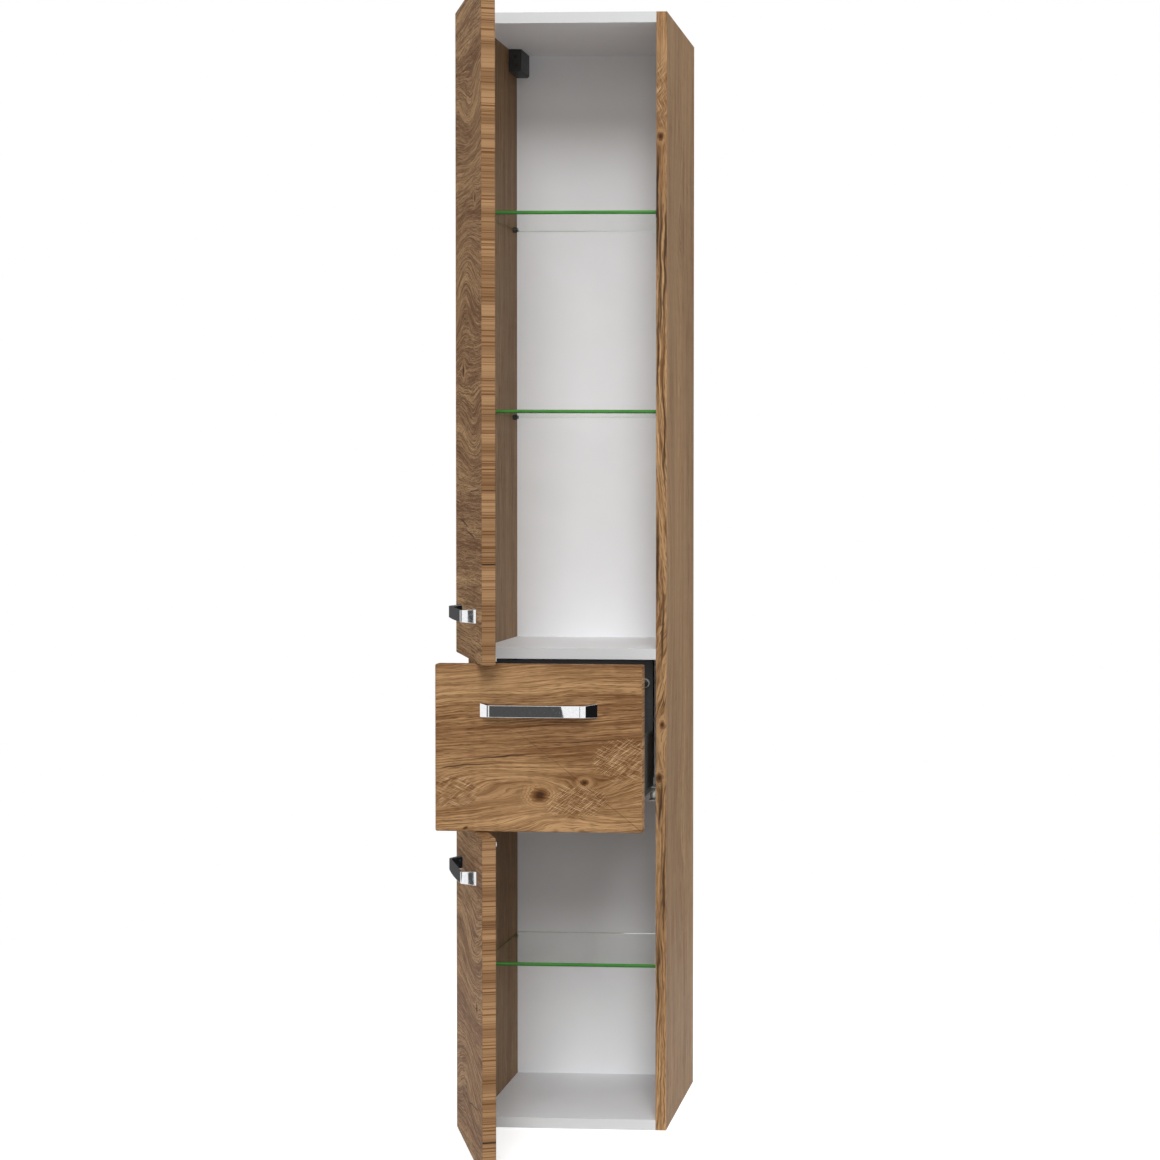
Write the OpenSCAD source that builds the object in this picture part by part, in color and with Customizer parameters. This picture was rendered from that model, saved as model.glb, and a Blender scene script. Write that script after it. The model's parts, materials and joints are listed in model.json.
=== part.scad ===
// Bathroom storage tower: a tall narrow cabinet with an upper door, a drawer and a lower door.
// Millimetres. X runs across the width, -Y is the front, Z is up.
// The origin is the centre of the carcass's bottom face.

/* [Carcass] */
// Width over the side panels
body_w = 340; // [310:1:420]
// Height of the side panels
body_h = 1900; // [1860:1:2050]
// Depth of the side panels
body_d = 352; // [335:1:420]
// Thickness of the side, top, middle and bottom boards
board_t = 18; // [16:0.5:20]
// Thickness of the back panel
back_t = 4; // [3:0.5:6]
// Space between the back panel and the wall
back_space = 21; // [18:0.5:30]
// Depth of the groove that holds the back panel
groove_depth = 7; // [5:0.5:9]
// Height of the middle board's underside
middle_z = 805.5; // [800:0.5:830]

/* [Glass shelves] */
// Thickness of a glass shelf
shelf_t = 6; // [5:0.5:8]
// Height of the highest glass shelf, as a share of the space behind the upper door
shelf_high_share = 0.6986; // [0.62:0.0001:0.8]
// Height of the second glass shelf, as a share of the space behind the upper door
shelf_mid_share = 0.3784; // [0.3:0.0001:0.45]
// Height of the low glass shelf, as a share of the space under the middle board
shelf_low_share = 0.3244; // [0.25:0.0001:0.4]
// Distance of a shelf's front edge behind the side panels' front edges
shelf_setback = 28; // [20:1:60]
// Play between a shelf and the boards round it
shelf_play = 1; // [0.5:0.25:2]
// Diameter of a shelf support's pin
support_d = 5; // [4:0.5:6]
// Depth of a support's pin in the side panel
support_depth = 8; // [6:0.5:11]
// Length, width and thickness of a support's pad
support_pad = [9, 11, 3]; // [2:0.5:16]
// Distance of a support from the shelf's front and back edges
support_inset = 34; // [20:1:60]

/* [Fronts] */
// Thickness of the doors and the drawer front
front_t = 22; // [20:0.5:25]
// Gap between a closed front and the carcass
front_gap = 2; // [1.5:0.25:3]
// Inset of the fronts from the carcass's outer faces and its ends
reveal = 2; // [1.5:0.25:3]
// Seam between neighbouring fronts
seam = 2.3; // [2:0.1:4]
// How far the upper door covers the middle board
upper_lap = 7; // [4:0.5:9]
// Height of the drawer front
drawer_front_h = 269.5; // [255:0.5:290]
// Radius of the fronts' corners
corner_r = 3; // [1:0.5:5]
// Angle at which the two doors stand open
door_open = 70.4; // [0:0.1:95]
// Diameter of a door or drawer bumper
bumper_d = 8; // [6:0.5:10]
// Play between a bumper and the carcass when the front is closed
bumper_play = 0.2; // [0.1:0.05:0.4]
// Distance of a door bumper from the door's ends
bumper_inset = 10; // [6:0.5:60]

/* [Handles] */
// Length of a handle over its feet
handle_l = 190; // [160:1:220]
// How far a foot splays out past the handle's front
handle_splay = 16.8; // [12:0.1:20]
// Height of a handle's bar between its feet
handle_h = 19; // [14:0.5:22]
// Height of a handle's feet
handle_foot_h = 22.5; // [22.5:0.5:28]
// Reach of a handle in front of the board
handle_out = 25; // [22:0.5:35]
// Rise of a handle's crowned front over its bends
handle_crown = 2; // [1:0.25:3]
// Thickness of a handle's front
handle_t = 5; // [4:0.25:7]
// Thickness of a handle's foot along the handle
handle_foot = 11; // [10:0.5:13]
// Distance from the middle of a handle to the edge of the front beside it
handle_edge = 74; // [50:1:100]
// Diameter of a handle screw
handle_screw_d = 4; // [3.5:0.5:4]
// Depth of a handle screw in the handle's foot
handle_screw_depth = 6; // [5:0.5:8]

/* [Hinges] */
// Distance of a door's turning axis from the door's edge
pivot_in = 0.5; // [0:0.1:0.8]
// Distance of a door's turning axis in front of the carcass
pivot_out = 1; // [0.5:0.1:1.2]
// Distance from the door's edge to the middle of a hinge cup
cup_inset = 23.5; // [22:0.5:25]
// Outer diameter of a hinge cup
cup_d = 35; // [35:1:40]
// Depth of a hinge cup in the door
cup_depth = 12.5; // [12:0.25:14]
// Wall thickness of a hinge cup
cup_wall = 0.7; // [0.5:0.1:1]
// Thickness of the flange round a hinge cup
cup_flange_t = 1; // [0.8:0.1:1.2]
// Half the distance between a cup's two screws
cup_screw_side = 26; // [24:0.5:28]
// Distance of a door's outermost hinges from the door's ends
hinge_inset = 100; // [70:1:130]
// Distance of a link's pin from the side panel's inner face
knuckle_in = 2.2; // [2.2:0.1:3]
// Distance of a link's pin in front of the carcass
knuckle_out = 5; // [4:0.1:6]
// Length of a hinge link between its pin and its tip
link_l = 20.4; // [18:0.1:21]
// Thickness of a hinge link
link_t = 2; // [1.5:0.1:2.5]
// Height of a hinge link
link_h = 6; // [5:0.5:7]
// Direction of the links when the door is closed, in degrees from the width
link_closed = -18.3; // [-30:0.1:-10]
// Turn of a link for each degree that the door turns
link_ratio = 1.53; // [1.3:0.01:1.6]
// Diameter of a link's pin
link_pin_d = 2; // [1.5:0.1:2.4]
// Distance of a mounting plate's screws behind the carcass's front
plate_row = 37; // [32:0.5:40]
// Half the distance between a mounting plate's screws
plate_screw_side = 16; // [14:0.5:18]

/* [Drawer] */
// Share of its travel by which the drawer stands open
drawer_open_share = 1; // [0:0.05:1]
// Space between a drawer side and the side panel
runner_gap = 14; // [13:0.25:16]
// Height of the drawer sides' lower edge over the drawer front's
drawer_side_lift = 35.3; // [32:0.1:44]
// Height of the drawer's steel sides
drawer_side_h = 100; // [86:1:118]
// Thickness of the drawer sides' sheet
sheet_t = 1.5; // [1.2:0.1:2]
// Width of the rolled top edge of a drawer side
bead_w = 8; // [6:0.5:10]
// Width of the ledge that carries the drawer's bottom
ledge_w = 16; // [12:1:20]
// Thickness of the drawer's bottom and back
drawer_board_t = 16; // [12:0.5:18]
// Gap between the drawer's back and the middle board
drawer_back_gap = 6; // [4:0.5:10]
// Space left behind the closed drawer
drawer_rear_gap = 22; // [15:0.5:30]
// Diameter of the gallery rails
rail_d = 13; // [10:0.5:16]
// Distance of the gallery rails' middle below the drawer front's top edge
rail_drop = 53.2; // [40:0.2:70]
// Distance of a gallery rail's middle from the drawer side's outer face
rail_in = 12.5; // [11:0.5:16]
// Wall thickness of a gallery rail's holders
holder_wall = 1.4; // [1:0.1:3]
// Length of a gallery rail's holder
holder_l = 9; // [7:0.5:12]

/* [Runners] */
// Thickness of the runner rails' sheet
rail_t = 1.2; // [1:0.1:1.4]
// Diameter of the runner rollers
roller_d = 18; // [15:0.5:18]
// Width of the runner rollers
roller_w = 5.5; // [5:0.25:6]
// Diameter of the runner rollers' axles
axle_d = 4; // [3:0.25:5]
// Distance of the front rollers behind the carcass's front
front_roller_y = 20; // [14:0.5:22]
// Distance of the rear rollers in front of the drawer's back
rear_roller_y = 11; // [11:0.5:16]
// Distance of the rear rollers' stops behind the carcass's front
stop_front = 38.6; // [36:0.2:50]
// Radial running clearance of the rollers and links on their pins
run_play = 0.08; // [0.05:0.01:0.1]
// Gap between the rollers and their tracks
track_play = 0.3; // [0.2:0.05:0.4]

/* [Wall hangers] */
// Width, depth and height of a hanger's housing
hanger_size = [23, 73, 40]; // [20:1:80]
// Wall thickness of a hanger's housing
hanger_wall = 2; // [1.5:0.25:3]
// Diameter of the two adjusting screws in a hanger's front
hanger_screw_d = 8; // [6:0.5:9]
// Size of the slant along a housing's lower edge
hanger_slant = 3; // [0:0.5:4]
// Thickness of the hook and of the wall plate
hook_t = 2.5; // [2:0.25:3]
// Width of a wall plate
wall_plate_w = 60; // [50:1:80]
// Height of a wall plate's lower part
wall_plate_h = 34; // [28:1:45]
// Distance between the two screw holes of a wall plate
wall_hole_pitch = 32; // [28:1:40]
// Diameter of a wall plate's screw holes
wall_hole_d = 6.5; // [5:0.5:8]

/* [Fasteners] */
// Distance of the cam fittings from the front and back edges
cam_inset = 60; // [50:1:80]
// Diameter of a cam lock
cam_d = 15; // [12:1:15]
// Height of a cam lock
cam_h = 12.5; // [12.5:0.25:13.5]
// Distance of a cam lock's middle from the board's end
cam_back = 24; // [24:1:34]
// Diameter of a cam bolt's thread
bolt_d = 7; // [6:0.5:8]
// Depth of a cam bolt in the side panel
bolt_depth = 11; // [9:0.5:12]
// Diameter of a wooden dowel
dowel_d = 8; // [6:1:8]
// Length of a wooden dowel
dowel_l = 30; // [28:1:35]
// Distance of a dowel from the cam fitting beside it
dowel_step = 32; // [25:1:40]
// Radial play of pins, dowels and screws in their holes
play = 0.1; // [0.05:0.01:0.15]
// Shank diameter of the small screws
screw_d = 3.5; // [3:0.25:4]
// Length of the small screws
screw_l = 13; // [10:0.5:14]
// Head diameter of the small screws
head_d = 6.5; // [6:0.25:7]
// Head height of the small screws
head_h = 1.6; // [1.2:0.1:2]

/* [Hidden] */
$fn = 48;
// Overrun of every cut past the surface it opens
cut = 1;

// Planes of the carcass
outer_x = body_w / 2;
inner_x = outer_x - board_t;
front_y = -body_d / 2;
back_y = body_d / 2;
top_z = body_h - board_t;
back_face_y = back_y - back_space - back_t;
groove_w = back_t + 2 * play;

// Fronts, when closed
fronts_y = front_y - front_gap;
fronts_w = body_w - 2 * reveal;
upper_door_z = middle_z + board_t - upper_lap;
upper_door_h = body_h - reveal - upper_door_z;
drawer_front_z = upper_door_z - seam - drawer_front_h;
lower_door_z = reveal;
lower_door_h = drawer_front_z - seam - lower_door_z;

// Undersides of the glass shelves
shelf_high_z = middle_z + board_t + shelf_high_share * (top_z - middle_z - board_t);
shelf_mid_z = middle_z + board_t + shelf_mid_share * (top_z - middle_z - board_t);
shelf_low_z = board_t + shelf_low_share * (middle_z - board_t);

// A door's turning axis, and the hinges along it
pivot = [-outer_x + reveal + pivot_in, front_y - pivot_out, 0];
knuckle = [-inner_x + knuckle_in, front_y - knuckle_out, 0];
cup_x = -outer_x + reveal + cup_inset;
upper_hinge_zs = [upper_door_z + hinge_inset, upper_door_z + upper_door_h / 2,
                  upper_door_z + upper_door_h - hinge_inset];
lower_hinge_zs = [lower_door_z + hinge_inset, lower_door_z + lower_door_h - hinge_inset];
hinge_zs = concat(upper_hinge_zs, lower_hinge_zs);

// A cup's flange: the width of its bar, the rim round the cup and the step of its screws
flange_bar_w = 12;
flange_rim = 1.5;
flange_step = 5.5;
flange_end = 6;

// A hinge arm and its mounting plate
arm_t = 4;
arm_h = 11;
arm_play = 0.2;
ear_play = 0.2;
eye_d = 4;
arm_start = 12;
arm_end = 62;
arm_lap = 4;
arm_body_w = 8.5;
arm_body_h = 14;
plate_start = 18;
plate_end = 58;
plate_t = 2.5;
plate_h = 13;
wing_t = 2;
wing_w = 14;
wing_end = 8;
arm_screw_shares = [0.3, 0.8];
arm_screw_ys = [for (s = arm_screw_shares) front_y + arm_start + s * (arm_end - arm_start)];
arm_screw_d = 3.2;
arm_screw_head_d = 6;
arm_screw_head_h = 1.2;

// Cam fittings
cam_ys = [front_y + cam_inset, back_y - cam_inset];
dowel_ys = [front_y + cam_inset + dowel_step, back_y - cam_inset - dowel_step];
dowel_side = 12;
bolt_shaft_d = 6;
cam_floor_play = 0.5;
cam_slot_w = 2;
cam_slot_h = 1.5;

// Drawer, when closed
drawer_x = inner_x - runner_gap;
drawer_side_z = drawer_front_z + drawer_side_lift;
drawer_end_y = back_face_y - drawer_rear_gap;
drawer_back_y = drawer_end_y - drawer_board_t;
drawer_bottom_z = drawer_side_z + sheet_t;
drawer_floor_z = drawer_bottom_z + drawer_board_t;
drawer_back_h = middle_z - drawer_back_gap - drawer_floor_z;
lip_h = 10;
flange_lift = 4;
flange_play = 1.3;
flange_reach = runner_gap - rail_t - flange_play;
tab_w = 20;
tab_reach = 8.7;
bracket_t = 2;
bracket_w = 20;
bracket_h = 60;
bracket_lift = 5;
bracket_tab = 30;
bracket_x = drawer_x - sheet_t - bracket_w / 2;
bracket_z = drawer_floor_z + bracket_lift;
bracket_screw_shares = [0.2, 0.8];
bracket_screw_zs = [for (s = bracket_screw_shares) bracket_z + s * bracket_h];
ledge_screw_shares = [0.15, 0.5, 0.8];
ledge_screw_ys = [for (s = ledge_screw_shares) fronts_y + s * (drawer_back_y - fronts_y)];
ledge_screw_x = drawer_x - sheet_t - ledge_w / 2;
bottom_screw_l = 11;
rail_z = drawer_front_z + drawer_front_h - rail_drop;
holder_d = rail_d + 2 * (play + holder_wall);
holder_base = 3;

// Runner rails and rollers
flange_z = drawer_side_z + flange_lift;
roller_z = flange_z - track_play - roller_d / 2;
rail_floor_z = roller_z - roller_d / 2 - track_play;
rail_clear = 1;
rail_top_z = flange_z + sheet_t + rail_clear;
rail_start = 3;
rail_end = 2;
rail_end_y = drawer_end_y - rail_end;
rail_side_play = 0.8;
rail_lip = 8;
roller_side_play = 0.4;
axle_head_d = 6.5;
axle_head_t = 1;
stop_h = 6;
stop_l = 2.5;
stop_play = 0.4;
front_roller_x = inner_x - rail_t - roller_side_play - roller_w;
rear_roller_side = 1.2;
rear_roller_x = drawer_x + rear_roller_side;
rear_roller_at = drawer_back_y - rear_roller_y;
stop_y = front_y + stop_front;
drawer_travel = rear_roller_at - roller_d / 2 - stop_play - stop_y;
drawer_open = drawer_open_share * drawer_travel;
runner_screw_shares = [0.25, 0.5, 0.85];
rail_l = rail_end_y - front_y - rail_start;
runner_screw_ys = [for (s = runner_screw_shares) front_y + rail_start + s * rail_l];
runner_screw_z = (rail_floor_z + rail_top_z) / 2;

// Handles
foot_inset = 7.5;
handle_pitch = handle_l - 2 * foot_inset;
handle_flat = handle_l - 2 * handle_splay;
handle_bend = 3;
handle_inner_lean = (handle_splay + handle_bend - handle_foot) / (handle_out - handle_t);
crown_r = handle_flat * handle_flat / 8 / handle_crown + handle_crown / 2;
crown_turn = asin(handle_flat / 2 / crown_r);
crown_steps = 8;
handle_head_d = 8;
handle_head_h = 2.5;
upper_handle_z = upper_door_z + handle_edge;
drawer_handle_z = drawer_front_z + drawer_front_h - handle_edge;
lower_handle_z = lower_door_z + lower_door_h - handle_edge;

// Wall hangers
hanger_y = back_face_y - hanger_size[1];
hanger_z = top_z - hanger_size[2];
hanger_hole_shares = [0.3, 0.7];
hanger_hole_zs = [for (s = hanger_hole_shares) hanger_z + s * hanger_size[2]];
hanger_x = inner_x - hanger_size[0] / 2;
hook_w = 12;
hook_down = 12;
hook_start = 12;
hook_floor_gap = 2;
hook_drop = 9;
hook_play = 0.3;
hook_x = hanger_x - hook_w / 2;
hook_z = top_z - hook_down;
hanger_screw_l = hanger_wall / 2 + hook_start - hook_play;
slot_play = 3;
lip_gap = 7;
plate_lip_y = back_y - lip_gap;
plate_lip_h = 10;
plate_top_z = hook_z - hook_play;
wall_plate_z = plate_top_z - plate_lip_h - wall_plate_h;
wall_hole_z = wall_plate_z + wall_plate_h / 2;
wall_plate_x = inner_x - wall_plate_w;

// Shelf supports
support_tail = 2;
support_ys = [front_y + shelf_setback + support_inset, back_face_y - shelf_play - support_inset];

// Turns in degrees that drive a screw in each direction
function to_right_side() = [0, -90, 0];
function to_left_side() = [0, 90, 0];
function to_front() = [-90, 0, 0];
function to_back() = [90, 0, 0];
function to_top() = [180, 0, 0];

// A box between two corners
module block(lo, hi) {
    translate(lo)
        cube(hi - lo);
}

// Cylinders along each axis, from a point in the positive direction
module rod_x(p, d, l) {
    translate(p)
        rotate([0, 90, 0])
            cylinder(d = d, h = l);
}

module rod_y(p, d, l) {
    translate(p)
        rotate([-90, 0, 0])
            cylinder(d = d, h = l);
}

module rod_z(p, d, l) {
    translate(p)
        cylinder(d = d, h = l);
}

module both_sides() {
    children();
    mirror([1, 0, 0])
        children();
}

// A screw along -Z with its head's underside at zero and a cross recess in its head
module screw(d, l, hd, hh) {
    difference() {
        union() {
            translate([0, 0, -l])
                cylinder(d = d, h = l + hh / 2);
            cylinder(d = hd, h = hh);
        }
        for (a = [0, 90])
            rotate([0, 0, a])
                translate([-hd / 3, -hd / 12, hh / 2])
                    cube([hd * 2 / 3, hd / 6, hh]);
    }
}

// The same screw with its head's underside at p, turned to the side that it is driven to
module screw_to(p, turn, d, l, hd, hh) {
    translate(p)
        rotate(turn)
            screw(d, l, hd, hh);
}

// A door turned about its axis
module on_door() {
    translate(pivot)
        rotate([0, 0, -door_open])
            translate(-pivot)
                children();
}

// The drawer pulled out
module on_drawer() {
    translate([0, -drawer_open, 0])
        children();
}

/* Carcass */

// Holes that all boards' fittings need in a side panel, on the right
module side_holes() {
    for (z = [board_t / 2, middle_z + board_t / 2, top_z + board_t / 2]) {
        for (y = cam_ys)
            rod_x([inner_x - cut, y, z], bolt_d + 2 * play, bolt_depth + play + cut);
        for (y = dowel_ys)
            rod_x([inner_x - cut, y, z], dowel_d + 2 * play, dowel_side + play + cut);
    }
    for (z = [shelf_high_z, shelf_mid_z, shelf_low_z])
        for (y = support_ys)
            rod_x([inner_x - cut, y, z - support_d / 2], support_d + 2 * play, support_depth + play + cut);
    block([inner_x - cut, back_face_y - play, board_t - groove_depth - play],
          [inner_x + groove_depth + play, back_face_y + groove_w - play, top_z + groove_depth + play]);
    for (y = runner_screw_ys)
        rod_x([inner_x - cut, y, runner_screw_z], screw_d + 2 * play, screw_l + play + cut);
}

module side_board() {
    difference() {
        block([inner_x, front_y, 0], [outer_x, back_y, body_h]);
        side_holes();
    }
}

module side_panel_right() {
    color("#8f6f4f")
        side_board();
}

module side_panel_left() {
    color("#8f6f4f")
        difference() {
            mirror([1, 0, 0])
                side_board();
            for (z = hinge_zs)
                for (s = [-1, 1])
                    rod_x([-inner_x - screw_l + wing_t - play, front_y + plate_row,
                           z + s * plate_screw_side],
                          screw_d + 2 * play, screw_l + play + cut);
        }
}

// Holes for cams, bolts and dowels in a board whose cams open upwards or downwards
module board_holes(z, up) {
    both_sides() {
        for (y = cam_ys) {
            if (up)
                rod_z([inner_x - cam_back, y, z + board_t - cam_h - cam_floor_play],
                      cam_d + 2 * play, cam_h + cam_floor_play + cut);
            else
                rod_z([inner_x - cam_back, y, z - cut], cam_d + 2 * play, cam_h + cam_floor_play + cut);
            rod_x([inner_x - cam_back, y, z + board_t / 2], bolt_shaft_d + 2 * play, cam_back + cut);
        }
        for (y = dowel_ys)
            rod_x([inner_x - dowel_l + dowel_side - play, y, z + board_t / 2], dowel_d + 2 * play,
                  dowel_l + cut);
    }
}

module top_panel() {
    color("#e4e4e2")
        difference() {
            block([-inner_x, front_y, top_z], [inner_x, back_y, body_h]);
            board_holes(top_z, true);
            block([-inner_x - cut, back_face_y - play, top_z - cut],
                  [inner_x + cut, back_face_y + groove_w - play, top_z + groove_depth + play]);
        }
}

module middle_panel() {
    color("#dededc")
        difference() {
            block([-inner_x, front_y, middle_z], [inner_x, back_face_y - play, middle_z + board_t]);
            board_holes(middle_z, false);
        }
}

module bottom_panel() {
    color("#e4e4e2")
        difference() {
            block([-inner_x, front_y, 0], [inner_x, back_y, board_t]);
            board_holes(0, false);
            block([-inner_x - cut, back_face_y - play, board_t - groove_depth - play],
                  [inner_x + cut, back_face_y + groove_w - play, board_t + cut]);
        }
}

module back_panel() {
    color("#e9e8e6")
        difference() {
            block([-inner_x - groove_depth, back_face_y, board_t - groove_depth],
                  [inner_x + groove_depth, back_face_y + back_t, top_z + groove_depth]);
            both_sides()
                block([hook_x - slot_play, back_face_y - cut, hook_z - hook_drop - slot_play],
                      [hook_x + hook_w + slot_play, back_face_y + back_t + cut,
                       hook_z + hook_t + slot_play]);
        }
}

module cam_locks() {
    color("#b9bcc0")
        for (row = [[0, false], [middle_z, false], [top_z, true]])
            both_sides()
                for (y = cam_ys)
                    translate([inner_x - cam_back, y, row[1] ? row[0] + board_t - cam_h : row[0]])
                        cam(row[1]);
}

module cam(up) {
    difference() {
        cylinder(d = cam_d, h = cam_h);
        translate([0, 0, up ? cam_h - board_t / 2 : board_t / 2])
            rotate([0, 90, 0])
                cylinder(d = bolt_shaft_d + 2 * play, h = cam_d);
        translate([-cam_d / 3, -cam_slot_w / 2, up ? cam_h - cam_slot_h : -cut])
            cube([cam_d * 2 / 3, cam_slot_w, cam_slot_h + cut]);
    }
}

module cam_bolts() {
    color("#c7b27a")
        for (z = [board_t / 2, middle_z + board_t / 2, top_z + board_t / 2])
            both_sides()
                for (y = cam_ys) {
                    rod_x([inner_x, y, z], bolt_d, bolt_depth);
                    rod_x([inner_x - cam_back + play, y, z], bolt_shaft_d, cam_back);
                }
}

module wood_dowels() {
    color("#d8b98a")
        for (z = [board_t / 2, middle_z + board_t / 2, top_z + board_t / 2])
            both_sides()
                for (y = dowel_ys)
                    rod_x([inner_x - dowel_l + dowel_side, y, z], dowel_d, dowel_l);
}

/* Glass shelves */

module glass_shelf(z) {
    color("#8fc08a", 0.5)
        block([-inner_x + shelf_play, front_y + shelf_setback, z],
              [inner_x - shelf_play, back_face_y - shelf_play, z + shelf_t]);
}

module glass_shelf_high() {
    glass_shelf(shelf_high_z);
}

module glass_shelf_mid() {
    glass_shelf(shelf_mid_z);
}

module glass_shelf_low() {
    glass_shelf(shelf_low_z);
}

module shelf_supports() {
    color("#3b3b3d")
        for (z = [shelf_high_z, shelf_mid_z, shelf_low_z])
            both_sides()
                for (y = support_ys) {
                    rod_x([inner_x - support_pad[0] + support_tail, y, z - support_d / 2], support_d,
                          support_pad[0] - support_tail + support_depth);
                    block([inner_x - support_pad[0], y - support_pad[1] / 2, z - support_pad[2]],
                          [inner_x, y + support_pad[1] / 2, z]);
                }
}

/* Wall hangers */

module hanger_housings() {
    color("#2c2a28")
        both_sides()
            difference() {
                hanger_block();
                block([inner_x - hanger_size[0] + hanger_wall, hanger_y + hanger_wall,
                       hanger_z + hanger_wall],
                      [inner_x - hanger_wall, back_face_y + cut, top_z - hanger_wall]);
                for (z = hanger_hole_zs)
                    rod_y([hanger_x, hanger_y - cut, z], hanger_screw_d + 2 * play, hanger_wall + 2 * cut);
            }
}

// A housing's outer form, with its lower inner edge cut off at a slant
module hanger_block() {
    translate([inner_x, hanger_y, hanger_z])
        rotate([-90, 0, 0])
            mirror([0, 1, 0])
                linear_extrude(hanger_size[1])
                    polygon([[0, 0], [hanger_slant - hanger_size[0], 0], [-hanger_size[0], hanger_slant],
                             [-hanger_size[0], hanger_size[2]], [0, hanger_size[2]]]);
}

module hanger_screws() {
    color("#26272a")
        both_sides()
            for (z = hanger_hole_zs)
                difference() {
                    rod_y([hanger_x, hanger_y + hanger_wall / 2, z], hanger_screw_d, hanger_screw_l);
                    for (a = [0, 90])
                        translate([hanger_x, hanger_y + hanger_wall / 2, z])
                            rotate([0, a, 0])
                                translate([-hanger_screw_d / 3, -cut, -hanger_screw_d / 12])
                                    cube([hanger_screw_d * 2 / 3, cut + hanger_screw_d / 6,
                                          hanger_screw_d / 6]);
                }
}

module hanger_hooks() {
    color("#aeb1b5")
        both_sides() {
            block([hook_x, hanger_y + hanger_wall + hook_start, hook_z],
                  [hook_x + hook_w, back_y - hook_play, hook_z + hook_t]);
            block([hook_x, back_y - hook_play - hook_t, hook_z - hook_drop],
                  [hook_x + hook_w, back_y - hook_play, hook_z + hook_t]);
            block([hook_x, hanger_y + hanger_wall + hook_start, hanger_z + hanger_wall + hook_floor_gap],
                  [hook_x + hook_w, hanger_y + hanger_wall + hook_start + hook_t, hook_z + hook_t]);
        }
}

// A plate on the wall, bent out at its top so that the hook drops in behind the bend
module wall_plates() {
    color("#c3c6c9")
        both_sides()
            difference() {
                union() {
                    block([wall_plate_x, back_y - hook_t, wall_plate_z],
                          [wall_plate_x + wall_plate_w, back_y, wall_plate_z + wall_plate_h]);
                    block([wall_plate_x, plate_lip_y, wall_plate_z + wall_plate_h - hook_t],
                          [wall_plate_x + wall_plate_w, back_y, wall_plate_z + wall_plate_h]);
                    block([wall_plate_x, plate_lip_y, wall_plate_z + wall_plate_h - hook_t],
                          [wall_plate_x + wall_plate_w, plate_lip_y + hook_t, plate_top_z]);
                }
                for (s = [-1, 1])
                    rod_y([wall_plate_x + wall_plate_w / 2 + s * wall_hole_pitch / 2, plate_lip_y - cut,
                           wall_hole_z],
                          wall_hole_d, back_y - plate_lip_y + 2 * cut);
            }
}

/* Hinges, on the left */

// A cross-shaped mounting plate under each arm
module hinge_plates() {
    color("#c5c8cb")
        for (z = hinge_zs)
            difference() {
                union() {
                    block([-inner_x, front_y + plate_start, z - plate_h / 2],
                          [-inner_x + plate_t, front_y + plate_end, z + plate_h / 2]);
                    block([-inner_x, front_y + plate_row - wing_w / 2, z - plate_screw_side - wing_end],
                          [-inner_x + wing_t, front_y + plate_row + wing_w / 2,
                           z + plate_screw_side + wing_end]);
                }
                for (s = [-1, 1])
                    rod_x([-inner_x - cut, front_y + plate_row, z + s * plate_screw_side],
                          screw_d + 2 * play, wing_t + 2 * cut);
                for (y = arm_screw_ys)
                    rod_x([-inner_x + plate_t / 2, y, z], arm_screw_d + 2 * play, plate_t);
            }
}

module hinge_plate_screws() {
    color("#a9acb0")
        for (z = hinge_zs)
            for (s = [-1, 1])
                screw_to([-inner_x + wing_t, front_y + plate_row, z + s * plate_screw_side], to_left_side(),
                         screw_d, screw_l, head_d, head_h);
}

// An arm: a body over the plate, and a front bar that ends in a fork round the link's eye
module hinge_arms() {
    color("#d0d2d5")
        for (z = hinge_zs)
            difference() {
                union() {
                    block([-inner_x + plate_t, front_y + arm_start, z - arm_body_h / 2],
                          [-inner_x + plate_t + arm_body_w, front_y + arm_end, z + arm_body_h / 2]);
                    block([-inner_x + arm_play, knuckle[1], z - arm_h / 2],
                          [-inner_x + arm_play + arm_t, front_y + arm_start + arm_lap, z + arm_h / 2]);
                    rod_z([knuckle[0], knuckle[1], z - arm_h / 2], arm_t, arm_h);
                }
                // room for the link between the ears
                block([knuckle[0] - arm_t, knuckle[1] - arm_t, z - link_h / 2 - ear_play],
                      [knuckle[0] + arm_t, knuckle[1] + eye_d / 2 + ear_play, z + link_h / 2 + ear_play]);
                rod_z([knuckle[0], knuckle[1], z - arm_h / 2 - cut],
                      link_pin_d + 2 * run_play, arm_h + 2 * cut);
                for (y = arm_screw_ys)
                    rod_x([-inner_x + plate_t - cut, y, z], arm_screw_d + 2 * play, arm_body_w + 2 * cut);
            }
}

module hinge_arm_screws() {
    color("#a9acb0")
        for (z = hinge_zs)
            for (y = arm_screw_ys)
                screw_to([-inner_x + plate_t + arm_body_w, y, z], to_left_side(), arm_screw_d,
                         arm_body_w + plate_t / 2 - play, arm_screw_head_d, arm_screw_head_h);
}

module hinge_pins() {
    color("#8e9195")
        for (z = hinge_zs)
            rod_z([knuckle[0], knuckle[1], z - arm_h / 2], link_pin_d, arm_h);
}

// One link: an eye on the arm's pin, and a tip that rides in the cup's hollow
module hinge_link(z) {
    translate([knuckle[0], knuckle[1], z - link_h / 2])
        rotate([0, 0, link_closed - link_ratio * door_open])
            difference() {
                union() {
                    cylinder(d = eye_d, h = link_h);
                    translate([0, -link_t / 2, 0])
                        cube([link_l, link_t, link_h]);
                    translate([link_l, 0, 0])
                        cylinder(d = link_t, h = link_h);
                }
                translate([0, 0, -cut])
                    cylinder(d = link_pin_d + 2 * run_play, h = link_h + 2 * cut);
            }
}

module upper_hinge_links() {
    color("#dcdee0")
        for (z = upper_hinge_zs)
            hinge_link(z);
}

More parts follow.
